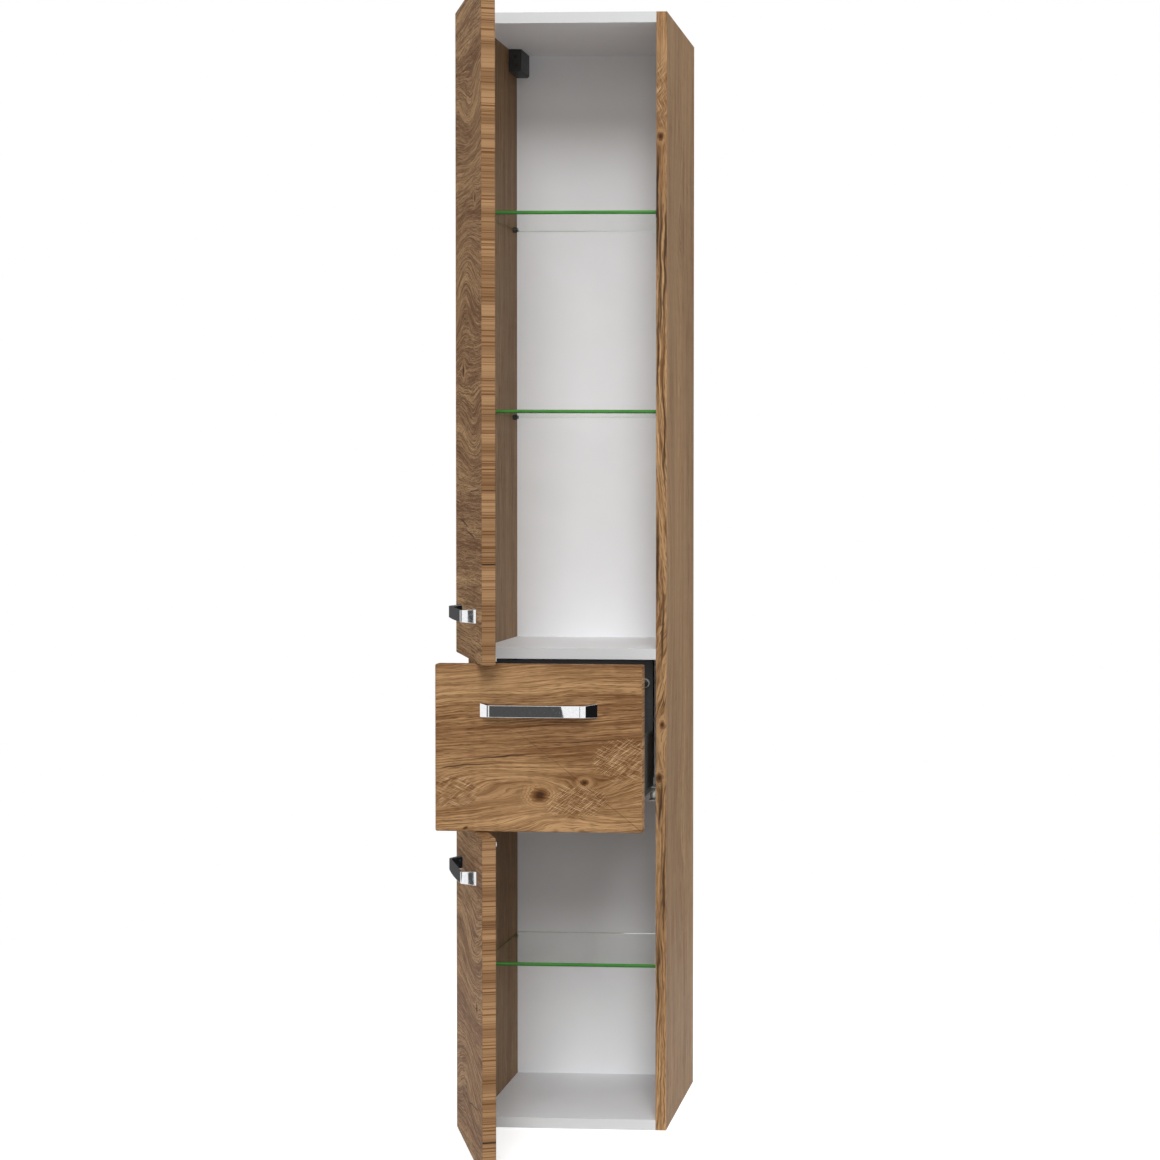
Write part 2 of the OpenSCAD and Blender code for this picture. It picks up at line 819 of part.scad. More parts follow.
module lower_hinge_links() {
    color("#dcdee0")
        for (z = lower_hinge_zs)
            hinge_link(z);
}

/* Doors, drawn closed and turned open */

// A board with rounded corners whose back face lies on the fronts' plane
module front_board(z, h) {
    translate([0, fronts_y, z])
        rotate([90, 0, 0])
            linear_extrude(front_t)
                rounded_outline(fronts_w, h);
}

module rounded_outline(w, h) {
    translate([corner_r - w / 2, 0])
        square([w - 2 * corner_r, h]);
    translate([-w / 2, corner_r])
        square([w, h - 2 * corner_r]);
    for (x = [corner_r - w / 2, w / 2 - corner_r])
        for (y = [corner_r, h - corner_r])
            translate([x, y])
                circle(r = corner_r);
}

module door_panel(z, h, zs, handle_z) {
    difference() {
        front_board(z, h);
        for (hz = zs) {
            translate([cup_x, fronts_y + cut, hz])
                rotate([90, 0, 0])
                    cylinder(d = cup_d, h = cup_depth + play + cut);
            for (s = [-1, 1])
                rod_y([cup_x + flange_step, fronts_y - screw_l - play, hz + s * cup_screw_side],
                      screw_d + 2 * play, screw_l + play + cut);
        }
        handle_holes(handle_z);
    }
}

// Screw holes through a front for its handle
module handle_holes(z) {
    for (s = [-1, 1])
        rod_y([s * handle_pitch / 2, fronts_y - front_t - cut, z], handle_screw_d + 2 * play,
              front_t + 2 * cut);
}

// Bow handle on the face of a closed front: a crowned bar on splayed feet that grow taller
module bow_handle(z) {
    translate([0, fronts_y - front_t, z])
        difference() {
            handle_bar();
            handle_opening();
            for (s = [-1, 1])
                rod_y([s * handle_pitch / 2, -handle_screw_depth - play, 0],
                      handle_screw_d + 2 * play, handle_screw_depth + play + cut);
        }
}

// The bar and its feet, whose outlines from above and from the front meet
module handle_bar() {
    intersection() {
        handle_slab()
            polygon(concat([[-handle_l / 2, 0]], crown_points(), [[handle_l / 2, 0]]));
        rotate([90, 0, 0])
            translate([0, 0, -cut])
                linear_extrude(handle_out + 2 * cut)
                    handle_front_view(handle_l / 2 + cut, (handle_foot_h - handle_h) / 2 / handle_splay);
    }
}

// The crowned front from bend to bend, seen from above
function crown_points() = [
    for (i = [-crown_steps:crown_steps])
        let (a = crown_turn * i / crown_steps)
            [crown_r * sin(a), crown_r * (1 - cos(a)) - handle_out]
];

// The space behind the bar
module handle_opening() {
    half = handle_l / 2 - handle_foot;
    deep = handle_out - handle_t;
    handle_slab()
        polygon([
            [-half - handle_inner_lean * cut, cut], [handle_inner_lean * deep - half, -deep],
            [half - handle_inner_lean * deep, -deep], [half + handle_inner_lean * cut, cut]
        ]);
}

module handle_slab() {
    translate([0, 0, -handle_foot_h])
        linear_extrude(2 * handle_foot_h)
            children();
}

// The bar between the bends, and past them the feet, which grow by the slope given
module handle_front_view(half, slope) {
    foot = handle_h / 2 + slope * (half - handle_flat / 2);
    polygon([
        [-half, -foot], [-handle_flat / 2, -handle_h / 2], [handle_flat / 2, -handle_h / 2], [half, -foot],
        [half, foot], [handle_flat / 2, handle_h / 2], [-handle_flat / 2, handle_h / 2], [-half, foot]
    ]);
}

// Screws from a front's back face into its handle
module handle_screw_pair(z) {
    for (s = [-1, 1])
        screw_to([s * handle_pitch / 2, fronts_y, z], to_front(), handle_screw_d,
                 front_t + handle_screw_depth, handle_head_d, handle_head_h);
}

module hinge_cup(z) {
    translate([cup_x, fronts_y, z])
        rotate([90, 0, 0]) {
            difference() {
                union() {
                    cylinder(d = cup_d - 2 * play, h = cup_depth);
                    translate([0, 0, -cup_flange_t])
                        linear_extrude(cup_flange_t)
                            cup_flange();
                }
                translate([0, 0, -cup_flange_t - cut])
                    cylinder(d = cup_d - 2 * play - 2 * cup_wall,
                             h = cup_depth + cup_flange_t + cut - cup_wall);
                for (s = [-1, 1])
                    translate([flange_step, s * cup_screw_side, -cup_flange_t - cut])
                        cylinder(d = screw_d + 2 * play, h = cup_flange_t + 2 * cut);
            }
        }
}

module cup_flange() {
    circle(r = cup_d / 2 + flange_rim);
    translate([flange_step - flange_bar_w / 2, -cup_screw_side])
        square([flange_bar_w, 2 * cup_screw_side]);
    for (s = [-1, 1])
        translate([flange_step, s * cup_screw_side])
            circle(r = flange_end);
}

module cup_screws(zs) {
    for (z = zs)
        for (s = [-1, 1])
            screw_to([cup_x + flange_step, fronts_y + cup_flange_t, z + s * cup_screw_side], to_front(),
                     screw_d, screw_l, head_d, head_h);
}

module bumper(x, z) {
    rod_y([x, fronts_y, z], bumper_d, front_gap - bumper_play);
}

module door_bumpers(z, h) {
    for (bz = [z + bumper_inset, z + h - bumper_inset])
        bumper(outer_x - board_t / 2, bz);
}

module upper_door_panel() {
    color("#7e6148")
        on_door()
            door_panel(upper_door_z, upper_door_h, upper_hinge_zs, upper_handle_z);
}

module upper_door_handle() {
    color("#d7d9db")
        on_door()
            bow_handle(upper_handle_z);
}

module upper_door_handle_screws() {
    color("#a9acb0")
        on_door()
            handle_screw_pair(upper_handle_z);
}

module upper_door_hinge_cups() {
    color("#cfd1d4")
        on_door()
            for (z = upper_hinge_zs)
                hinge_cup(z);
}

module upper_door_cup_screws() {
    color("#a9acb0")
        on_door()
            cup_screws(upper_hinge_zs);
}

module upper_door_bumpers() {
    color("#e6e6e4")
        on_door()
            door_bumpers(upper_door_z, upper_door_h);
}

module lower_door_panel() {
    color("#7e6148")
        on_door()
            door_panel(lower_door_z, lower_door_h, lower_hinge_zs, lower_handle_z);
}

module lower_door_handle() {
    color("#d7d9db")
        on_door()
            bow_handle(lower_handle_z);
}

module lower_door_handle_screws() {
    color("#a9acb0")
        on_door()
            handle_screw_pair(lower_handle_z);
}

module lower_door_hinge_cups() {
    color("#cfd1d4")
        on_door()
            for (z = lower_hinge_zs)
                hinge_cup(z);
}

module lower_door_cup_screws() {
    color("#a9acb0")
        on_door()
            cup_screws(lower_hinge_zs);
}

module lower_door_bumpers() {
    color("#e6e6e4")
        on_door()
            door_bumpers(lower_door_z, lower_door_h);
}

/* Drawer, drawn closed and pulled out */

module drawer_front() {
    color("#96734f")
        on_drawer()
            difference() {
                front_board(drawer_front_z, drawer_front_h);
                handle_holes(drawer_handle_z);
                both_sides() {
                    for (z = bracket_screw_zs)
                        rod_y([bracket_x, fronts_y - screw_l + bracket_t - play, z],
                              screw_d + 2 * play, screw_l + play + cut);
                }
            }
}

module drawer_handle() {
    color("#d7d9db")
        on_drawer()
            bow_handle(drawer_handle_z);
}

module drawer_handle_screws() {
    color("#a9acb0")
        on_drawer()
            handle_screw_pair(drawer_handle_z);
}

module drawer_bumpers() {
    color("#e6e6e4")
        on_drawer()
            both_sides()
                for (z = [drawer_front_z + bumper_inset, drawer_front_z + drawer_front_h - bumper_inset])
                    bumper(outer_x - board_t / 2, z);
}

// A steel side on the right: web, rolled top edge, ledge, runner flange, and a tab for the rear roller
module drawer_side() {
    difference() {
        union() {
            translate([drawer_x, fronts_y, drawer_side_z])
                rotate([-90, 0, 0])
                    mirror([0, 1, 0])
                        linear_extrude(drawer_back_y - fronts_y)
                            side_profile();
            block([drawer_x - sheet_t, rear_roller_at - tab_w / 2, roller_z - tab_reach],
                  [drawer_x, rear_roller_at + tab_w / 2, drawer_side_z + sheet_t]);
        }
        rod_x([drawer_x - sheet_t - cut, rear_roller_at, roller_z], axle_d + 2 * play, sheet_t + 2 * cut);
        for (y = ledge_screw_ys)
            rod_z([ledge_screw_x, y, drawer_side_z - cut], screw_d + 2 * play, sheet_t + 2 * cut);
    }
}

module side_profile() {
    translate([-sheet_t, 0])
        square([sheet_t, drawer_side_h - bead_w / 2]);
    translate([-ledge_w, 0])
        square([ledge_w, sheet_t]);
    translate([-sheet_t, flange_lift])
        square([flange_reach + sheet_t, sheet_t]);
    translate([-bead_w, drawer_side_h - bead_w / 2 - lip_h])
        square([sheet_t, lip_h]);
    translate([-bead_w / 2, drawer_side_h - bead_w / 2])
        intersection() {
            difference() {
                circle(d = bead_w);
                circle(d = bead_w - 2 * sheet_t);
            }
            translate([-bead_w, 0])
                square([2 * bead_w, bead_w]);
        }
}

module drawer_side_right() {
    color("#4c4945")
        on_drawer()
            drawer_side();
}

module drawer_side_left() {
    color("#4c4945")
        on_drawer()
            mirror([1, 0, 0])
                drawer_side();
}

module drawer_bottom() {
    color("#2b2b2d")
        on_drawer()
            difference() {
                block([-drawer_x + sheet_t + play, fronts_y, drawer_bottom_z],
                      [drawer_x - sheet_t - play, drawer_end_y, drawer_floor_z]);
                both_sides()
                    for (y = ledge_screw_ys)
                        rod_z([ledge_screw_x, y, drawer_bottom_z - cut], screw_d + 2 * play,
                              bottom_screw_l + play + cut);
            }
}

module drawer_back() {
    color("#242426")
        on_drawer()
            difference() {
                block([-drawer_x, drawer_back_y, drawer_floor_z],
                      [drawer_x, drawer_end_y, drawer_floor_z + drawer_back_h]);
                both_sides()
                    for (z = bracket_screw_zs)
                        rod_y([bracket_x, drawer_back_y - cut, z], screw_d + 2 * play, screw_l + cut);
            }
}

module gallery_rail() {
    rod_y([drawer_x - rail_in, fronts_y + holder_base, rail_z], rail_d,
          drawer_back_y - fronts_y - 2 * holder_base);
}

module gallery_rail_right() {
    color("#6f6d6a")
        on_drawer()
            gallery_rail();
}

module gallery_rail_left() {
    color("#6f6d6a")
        on_drawer()
            mirror([1, 0, 0])
                gallery_rail();
}

// A cup at each end of a gallery rail
module rail_holders() {
    color("#b4b2ae")
        on_drawer()
            both_sides()
                difference() {
                    union() {
                        rod_y([drawer_x - rail_in, fronts_y, rail_z], holder_d, holder_l);
                        rod_y([drawer_x - rail_in, drawer_back_y - holder_l, rail_z], holder_d, holder_l);
                    }
                    rod_y([drawer_x - rail_in, fronts_y + holder_base - play, rail_z], rail_d + 2 * play,
                          drawer_back_y - fronts_y - 2 * holder_base + 2 * play);
                }
}

// An angle against the front or the back, with a tab along the steel side
module bracket(y_plate, y_tab) {
    difference() {
        union() {
            block([drawer_x - sheet_t - bracket_w, min(y_plate), bracket_z],
                  [drawer_x - sheet_t, max(y_plate), bracket_z + bracket_h]);
            block([drawer_x - sheet_t - bracket_t, min(y_tab), bracket_z],
                  [drawer_x - sheet_t, max(y_tab), bracket_z + bracket_h]);
        }
        for (z = bracket_screw_zs)
            rod_y([bracket_x, min(y_plate) - cut, z], screw_d + 2 * play, bracket_t + 2 * cut);
    }
}

module drawer_front_brackets() {
    color("#9b9d9f")
        on_drawer()
            both_sides()
                bracket([fronts_y, fronts_y + bracket_t], [fronts_y, fronts_y + bracket_tab]);
}

module drawer_rear_brackets() {
    color("#9b9d9f")
        on_drawer()
            both_sides()
                bracket([drawer_back_y - bracket_t, drawer_back_y],
                        [drawer_back_y - bracket_tab, drawer_back_y]);
}

module drawer_bracket_screws() {
    color("#a9acb0")
        on_drawer()
            both_sides()
                for (z = bracket_screw_zs) {
                    screw_to([bracket_x, fronts_y + bracket_t, z], to_front(),
                             screw_d, screw_l, head_d, head_h);
                    screw_to([bracket_x, drawer_back_y - bracket_t, z], to_back(),
                             screw_d, screw_l, head_d, head_h);
                }
}

module drawer_bottom_screws() {
    color("#a9acb0")
        on_drawer()
            both_sides()
                for (y = ledge_screw_ys)
                    screw_to([ledge_screw_x, y, drawer_side_z], to_top(), screw_d, bottom_screw_l + sheet_t,
                             head_d, head_h);
}

/* Runners */

// A rail on the right side panel: web, floor, top lip, and a stop for the rear roller
module runner_rail() {
    difference() {
        union() {
            block([inner_x - rail_t, front_y + rail_start, rail_floor_z - rail_t],
                  [inner_x, rail_end_y, rail_top_z + rail_t]);
            block([drawer_x + rail_side_play, front_y + rail_start, rail_floor_z - rail_t],
                  [inner_x, rail_end_y, rail_floor_z]);
            block([inner_x - rail_lip, front_y + rail_start, rail_top_z],
                  [inner_x, rail_end_y, rail_top_z + rail_t]);
            block([drawer_x + rail_side_play, stop_y - stop_l, rail_floor_z - rail_t],
                  [drawer_x + rail_side_play + roller_w, stop_y, rail_floor_z + stop_h]);
        }
        for (y = runner_screw_ys)
            rod_x([inner_x - rail_t - cut, y, runner_screw_z], screw_d + 2 * play, rail_t + 2 * cut);
        rod_x([inner_x - rail_t - cut, front_y + front_roller_y, roller_z], axle_d + 2 * play,
              rail_t + 2 * cut);
    }
}

module runner_rail_right() {
    color("#8c8f92")
        runner_rail();
}

module runner_rail_left() {
    color("#8c8f92")
        mirror([1, 0, 0])
            runner_rail();
}

module runner_screws() {
    color("#a9acb0")
        both_sides()
            for (y = runner_screw_ys)
                screw_to([inner_x - rail_t, y, runner_screw_z], to_right_side(),
                         screw_d, screw_l, head_d, head_h);
}

module front_roller_axles() {
    color("#8e9195")
        both_sides() {
            rod_x([front_roller_x - roller_side_play, front_y + front_roller_y, roller_z], axle_d,
                  inner_x - front_roller_x + roller_side_play);
            rod_x([front_roller_x - roller_side_play - axle_head_t, front_y + front_roller_y, roller_z],
                  axle_head_d, axle_head_t);
        }
}

module roller(x, y) {
    difference() {
        rod_x([x, y, roller_z], roller_d, roller_w);
        rod_x([x - cut, y, roller_z], axle_d + 2 * run_play, roller_w + 2 * cut);
    }
}

module front_rollers() {
    color("#e9e7e2")
        both_sides()
            roller(front_roller_x, front_y + front_roller_y);
}

module rear_roller_axles() {
    color("#8e9195")
        on_drawer()
            both_sides() {
                rod_x([drawer_x - sheet_t, rear_roller_at, roller_z], axle_d,
                      rear_roller_side + sheet_t + roller_w + roller_side_play);
                rod_x([rear_roller_x + roller_w + roller_side_play, rear_roller_at, roller_z],
                      axle_head_d, axle_head_t);
                rod_x([drawer_x - sheet_t - axle_head_t, rear_roller_at, roller_z],
                      axle_head_d, axle_head_t);
            }
}

module rear_rollers() {
    color("#e9e7e2")
        on_drawer()
            both_sides()
                roller(rear_roller_x, rear_roller_at);
}

side_panel_left();
side_panel_right();
top_panel();
middle_panel();
bottom_panel();
back_panel();
glass_shelf_high();
glass_shelf_mid();
glass_shelf_low();
shelf_supports();
cam_locks();
cam_bolts();
wood_dowels();
hanger_housings();
hanger_screws();
hanger_hooks();
wall_plates();
hinge_plates();
hinge_plate_screws();
hinge_arms();
hinge_arm_screws();
hinge_pins();
upper_hinge_links();
lower_hinge_links();
runner_rail_left();
runner_rail_right();
runner_screws();
front_roller_axles();
front_rollers();
upper_door_panel();
upper_door_handle();
upper_door_handle_screws();
upper_door_hinge_cups();
upper_door_cup_screws();
upper_door_bumpers();
lower_door_panel();
lower_door_handle();
lower_door_handle_screws();
lower_door_hinge_cups();
lower_door_cup_screws();
lower_door_bumpers();
drawer_front();
drawer_handle();
drawer_handle_screws();
drawer_bumpers();
drawer_side_left();
drawer_side_right();
drawer_bottom();
drawer_back();
gallery_rail_left();
gallery_rail_right();
rail_holders();
drawer_front_brackets();
drawer_rear_brackets();
drawer_bracket_screws();
drawer_bottom_screws();
rear_roller_axles();
rear_rollers();
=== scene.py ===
# Dresses the bathroom storage tower: its fronts, handles and glass shelves get eased edges, and every part
# gets its finish. Lengths are metres, MM turns millimetres into metres, and the tables of the oak's figure
# are in millimetres. A pattern's steps are counted per metre, and its thresholds run from 0 to 1.
import json
import math

import bpy
from mathutils import Matrix, Vector


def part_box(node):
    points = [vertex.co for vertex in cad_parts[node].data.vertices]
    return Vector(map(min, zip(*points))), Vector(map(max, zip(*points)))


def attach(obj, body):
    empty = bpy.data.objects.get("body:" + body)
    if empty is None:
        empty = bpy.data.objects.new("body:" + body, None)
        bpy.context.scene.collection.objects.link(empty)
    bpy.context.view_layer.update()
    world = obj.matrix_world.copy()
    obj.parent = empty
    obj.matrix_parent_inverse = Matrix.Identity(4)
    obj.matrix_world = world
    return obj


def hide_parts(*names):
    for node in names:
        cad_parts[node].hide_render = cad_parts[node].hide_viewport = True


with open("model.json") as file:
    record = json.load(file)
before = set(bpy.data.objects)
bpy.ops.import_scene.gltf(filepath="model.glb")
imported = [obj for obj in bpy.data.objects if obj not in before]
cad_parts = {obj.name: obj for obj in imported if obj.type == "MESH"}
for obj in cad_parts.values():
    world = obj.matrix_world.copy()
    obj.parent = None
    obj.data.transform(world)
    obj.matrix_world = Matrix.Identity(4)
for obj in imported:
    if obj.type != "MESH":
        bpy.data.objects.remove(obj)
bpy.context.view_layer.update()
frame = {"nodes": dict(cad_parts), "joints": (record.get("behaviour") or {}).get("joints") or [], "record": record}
nodes = frame["nodes"]
MM = 0.001

# Where the moving parts stand, from the frame's joints: the least of each range is closed
joints = {joint["name"]: joint for joint in frame["joints"]}
DOOR_OPEN = -joints["upper_door_hinge"]["range_deg"][0]
PIVOT = Vector((*joints["upper_door_hinge"]["pos_m"][:2], 0))
DRAWER_OUT = -joints["drawer_slide"]["range_m"][0]

# Where the closed fronts' two faces lie, half their width, where the side panels' front edges lie, and how
# far the handles stand out
FRONT_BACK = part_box("drawer_front")[1].y + DRAWER_OUT
FRONT_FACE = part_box("drawer_front")[0].y + DRAWER_OUT
FRONT_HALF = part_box("drawer_front")[1].x
SIDE_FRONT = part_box("side_panel_right")[0].y
HANDLE_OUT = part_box("drawer_front")[0].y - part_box("drawer_handle")[0].y

# The handles' bar: how far its front is crowned, its thickness, how deep behind it the inner bends lie, and
# how far from its middle its long edges lie at least
HANDLE_CROWN = 2 * MM
BAR_THICK = 5 * MM
BEND_ZONE = 3 * MM
BAR_HALF = 9.4 * MM

# How widely each kind of edge is eased, and in how many steps
FRONT_EASE = (1.4 * MM, 3)
OUTER_BEND = (3.6 * MM, 6)
INNER_BEND = (3.0 * MM, 5)
HANDLE_RIM = (0.6 * MM, 3)
GLASS_EASE = (0.8 * MM, 2)

# A front's outline, its small round corners with it, lies this close to the sides of its box
FRONT_CORNER = 3.1 * MM

# What counts as a sharp edge, a smooth one, the same face, the same point and the same place
SHARP = math.radians(25)
SMOOTH = math.radians(35)
SAME_FACE = math.radians(0.5)
SAME_POINT = 0.005 * MM
SAME_PLACE = 0.05 * MM

# A shelf's wide faces and its rear edge are told by how far their normals point up or back
WIDE_FACE = 0.95
REAR_EDGE = 0.5

# From where a door or the drawer stands to where it is when it is closed
door_closes = (
    Matrix.Translation(PIVOT)
    @ Matrix.Rotation(math.radians(DOOR_OPEN), 4, "Z")
    @ Matrix.Translation(-PIVOT)
)
drawer_closes = Matrix.Translation((0, DRAWER_OUT, 0))
stays = Matrix.Identity(4)


# Shaping


def alone(piece):
    """Only this piece is selected, and it is the active one."""
    if bpy.context.object and bpy.context.object.mode != "OBJECT":
        bpy.ops.object.mode_set(mode="OBJECT")
    bpy.ops.object.select_all(action="DESELECT")
    piece.select_set(True)
    bpy.context.view_layer.objects.active = piece


def merged_copy(node, name):
    """A new piece that starts from a node's own shape, with its triangles merged into clean faces."""
    piece = bpy.data.objects.new(name, nodes[node].data.copy())
    bpy.context.scene.collection.objects.link(piece)
    piece.data.materials.clear()
    alone(piece)
    bpy.ops.object.mode_set(mode="EDIT")
    bpy.ops.mesh.select_all(action="SELECT")
    bpy.ops.mesh.remove_doubles(threshold=SAME_POINT)
    bpy.ops.mesh.dissolve_limited(angle_limit=SAME_FACE)
    bpy.ops.object.mode_set(mode="OBJECT")
    return piece


def sharp_edges(piece):
    """The numbers of the edges between two faces that meet at a sharp angle."""
    facing = {}
    for face in piece.data.polygons:
        for key in face.edge_keys:
            facing.setdefault(key, []).append(face.normal)
    sharp = []
    for edge in piece.data.edges:
        pair = facing.get(edge.key, [])
        if len(pair) == 2 and pair[0].angle(pair[1], 0) > SHARP:
            sharp.append(edge.index)
    return sharp


def ease_edges(piece, closes, wanted, width, segments):
    """Rounds the sharp edges that are wanted. wanted takes an edge's two ends, as they lie when closed."""
    alone(piece)
    bpy.context.tool_settings.mesh_select_mode = (False, True, False)
    mesh = piece.data
    for part in (mesh.vertices, mesh.edges, mesh.polygons):
        part.foreach_set("select", [False] * len(part))
    for index in sharp_edges(piece):
        ends = [closes @ mesh.vertices[v].co for v in mesh.edges[index].vertices]
        if wanted(*ends):
            mesh.edges[index].select = True
    bpy.ops.object.mode_set(mode="EDIT")
    bpy.ops.mesh.bevel(offset=width, segments=segments, affect="EDGES", clamp_overlap=True)
    bpy.ops.object.mode_set(mode="OBJECT")


def finished(piece, body, slot, node, *looks):
    """The piece is smoothed, gets its looks, stands for its node and rides on its body."""
    alone(piece)
    bpy.ops.object.shade_smooth_by_angle(angle=SMOOTH)
    for look in looks:
        piece.data.materials.append(look)
    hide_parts(node)
    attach(piece, body)
    return piece


def keep_flats_flat(piece):
    """The normals follow the big faces, so that flat faces shade and mirror without waves."""
    alone(piece)
    bpy.ops.object.modifier_add(type="WEIGHTED_NORMAL")
    steady = piece.modifiers[-1]
    steady.keep_sharp = True
    steady.weight = 100
    bpy.ops.object.modifier_apply(modifier=steady.name)


def near(value, target):
    """Whether two places along one axis are the same."""
    return abs(value - target) < SAME_PLACE


def shape_front(node, closes):
    """A front board with its outline eased all round on both faces."""
    piece = merged_copy(node, node + "_board")
    low, high = (corner.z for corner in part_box(node))

    def on_outline(point):
        flat = near(point.y, FRONT_BACK) or near(point.y, FRONT_FACE)
        at_side = abs(point.x) > FRONT_HALF - FRONT_CORNER
        return flat and (at_side or point.z < low + FRONT_CORNER or point.z > high - FRONT_CORNER)

    def outline(a, b):
        return on_outline(a) and on_outline(b) and near(a.y, b.y)

    ease_edges(piece, closes, outline, *FRONT_EASE)
    # The wide faces have many corners, and this settles how they are split
    alone(piece)
    bpy.ops.object.mode_set(mode="EDIT")
    bpy.ops.mesh.select_all(action="SELECT")
    bpy.ops.mesh.quads_convert_to_tris(quad_method="BEAUTY", ngon_method="BEAUTY")
    bpy.ops.object.mode_set(mode="OBJECT")
    return piece


def shape_handle(node, closes):
    """A bow handle bent from bar: round bends, and all its long edges eased."""
    piece = merged_copy(node, node + "_bow")
    middle = sum(corner.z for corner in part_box(node)) / 2
    reach = FRONT_FACE - HANDLE_OUT

    def upright(a, b):
        return near(a.x, b.x) and near(a.y, b.y)

    def outer_bend(a, b):
        return upright(a, b) and abs(a.y - reach - HANDLE_CROWN) < HANDLE_CROWN / 4

    def inner_bend(a, b):
        return upright(a, b) and BAR_THICK < a.y - reach < BAR_THICK + BEND_ZONE

    def rim(a, b):
        same_side = (a.z - middle) * (b.z - middle) > 0
        return same_side and abs(a.z - middle) > BAR_HALF

    ease_edges(piece, closes, outer_bend, *OUTER_BEND)
    ease_edges(piece, closes, inner_bend, *INNER_BEND)
    ease_edges(piece, closes, rim, *HANDLE_RIM)
    return piece


def shape_shelf(node):
    """A glass shelf with eased edges. Its front edge and its ends show the green of the glass."""
    piece = merged_copy(node, node + "_pane")
    ease_edges(piece, stays, lambda a, b: near(a.z, b.z), *GLASS_EASE)
    for face in piece.data.polygons:
        wide_face = abs(face.normal.z) > WIDE_FACE
        rear_edge = face.normal.y > REAR_EDGE
        face.material_index = 0 if wide_face or rear_edge else 1
    return piece


# Finishes

# A noise seldom leaves this range
NOISE_LOW = 0.3
NOISE_HIGH = 0.7


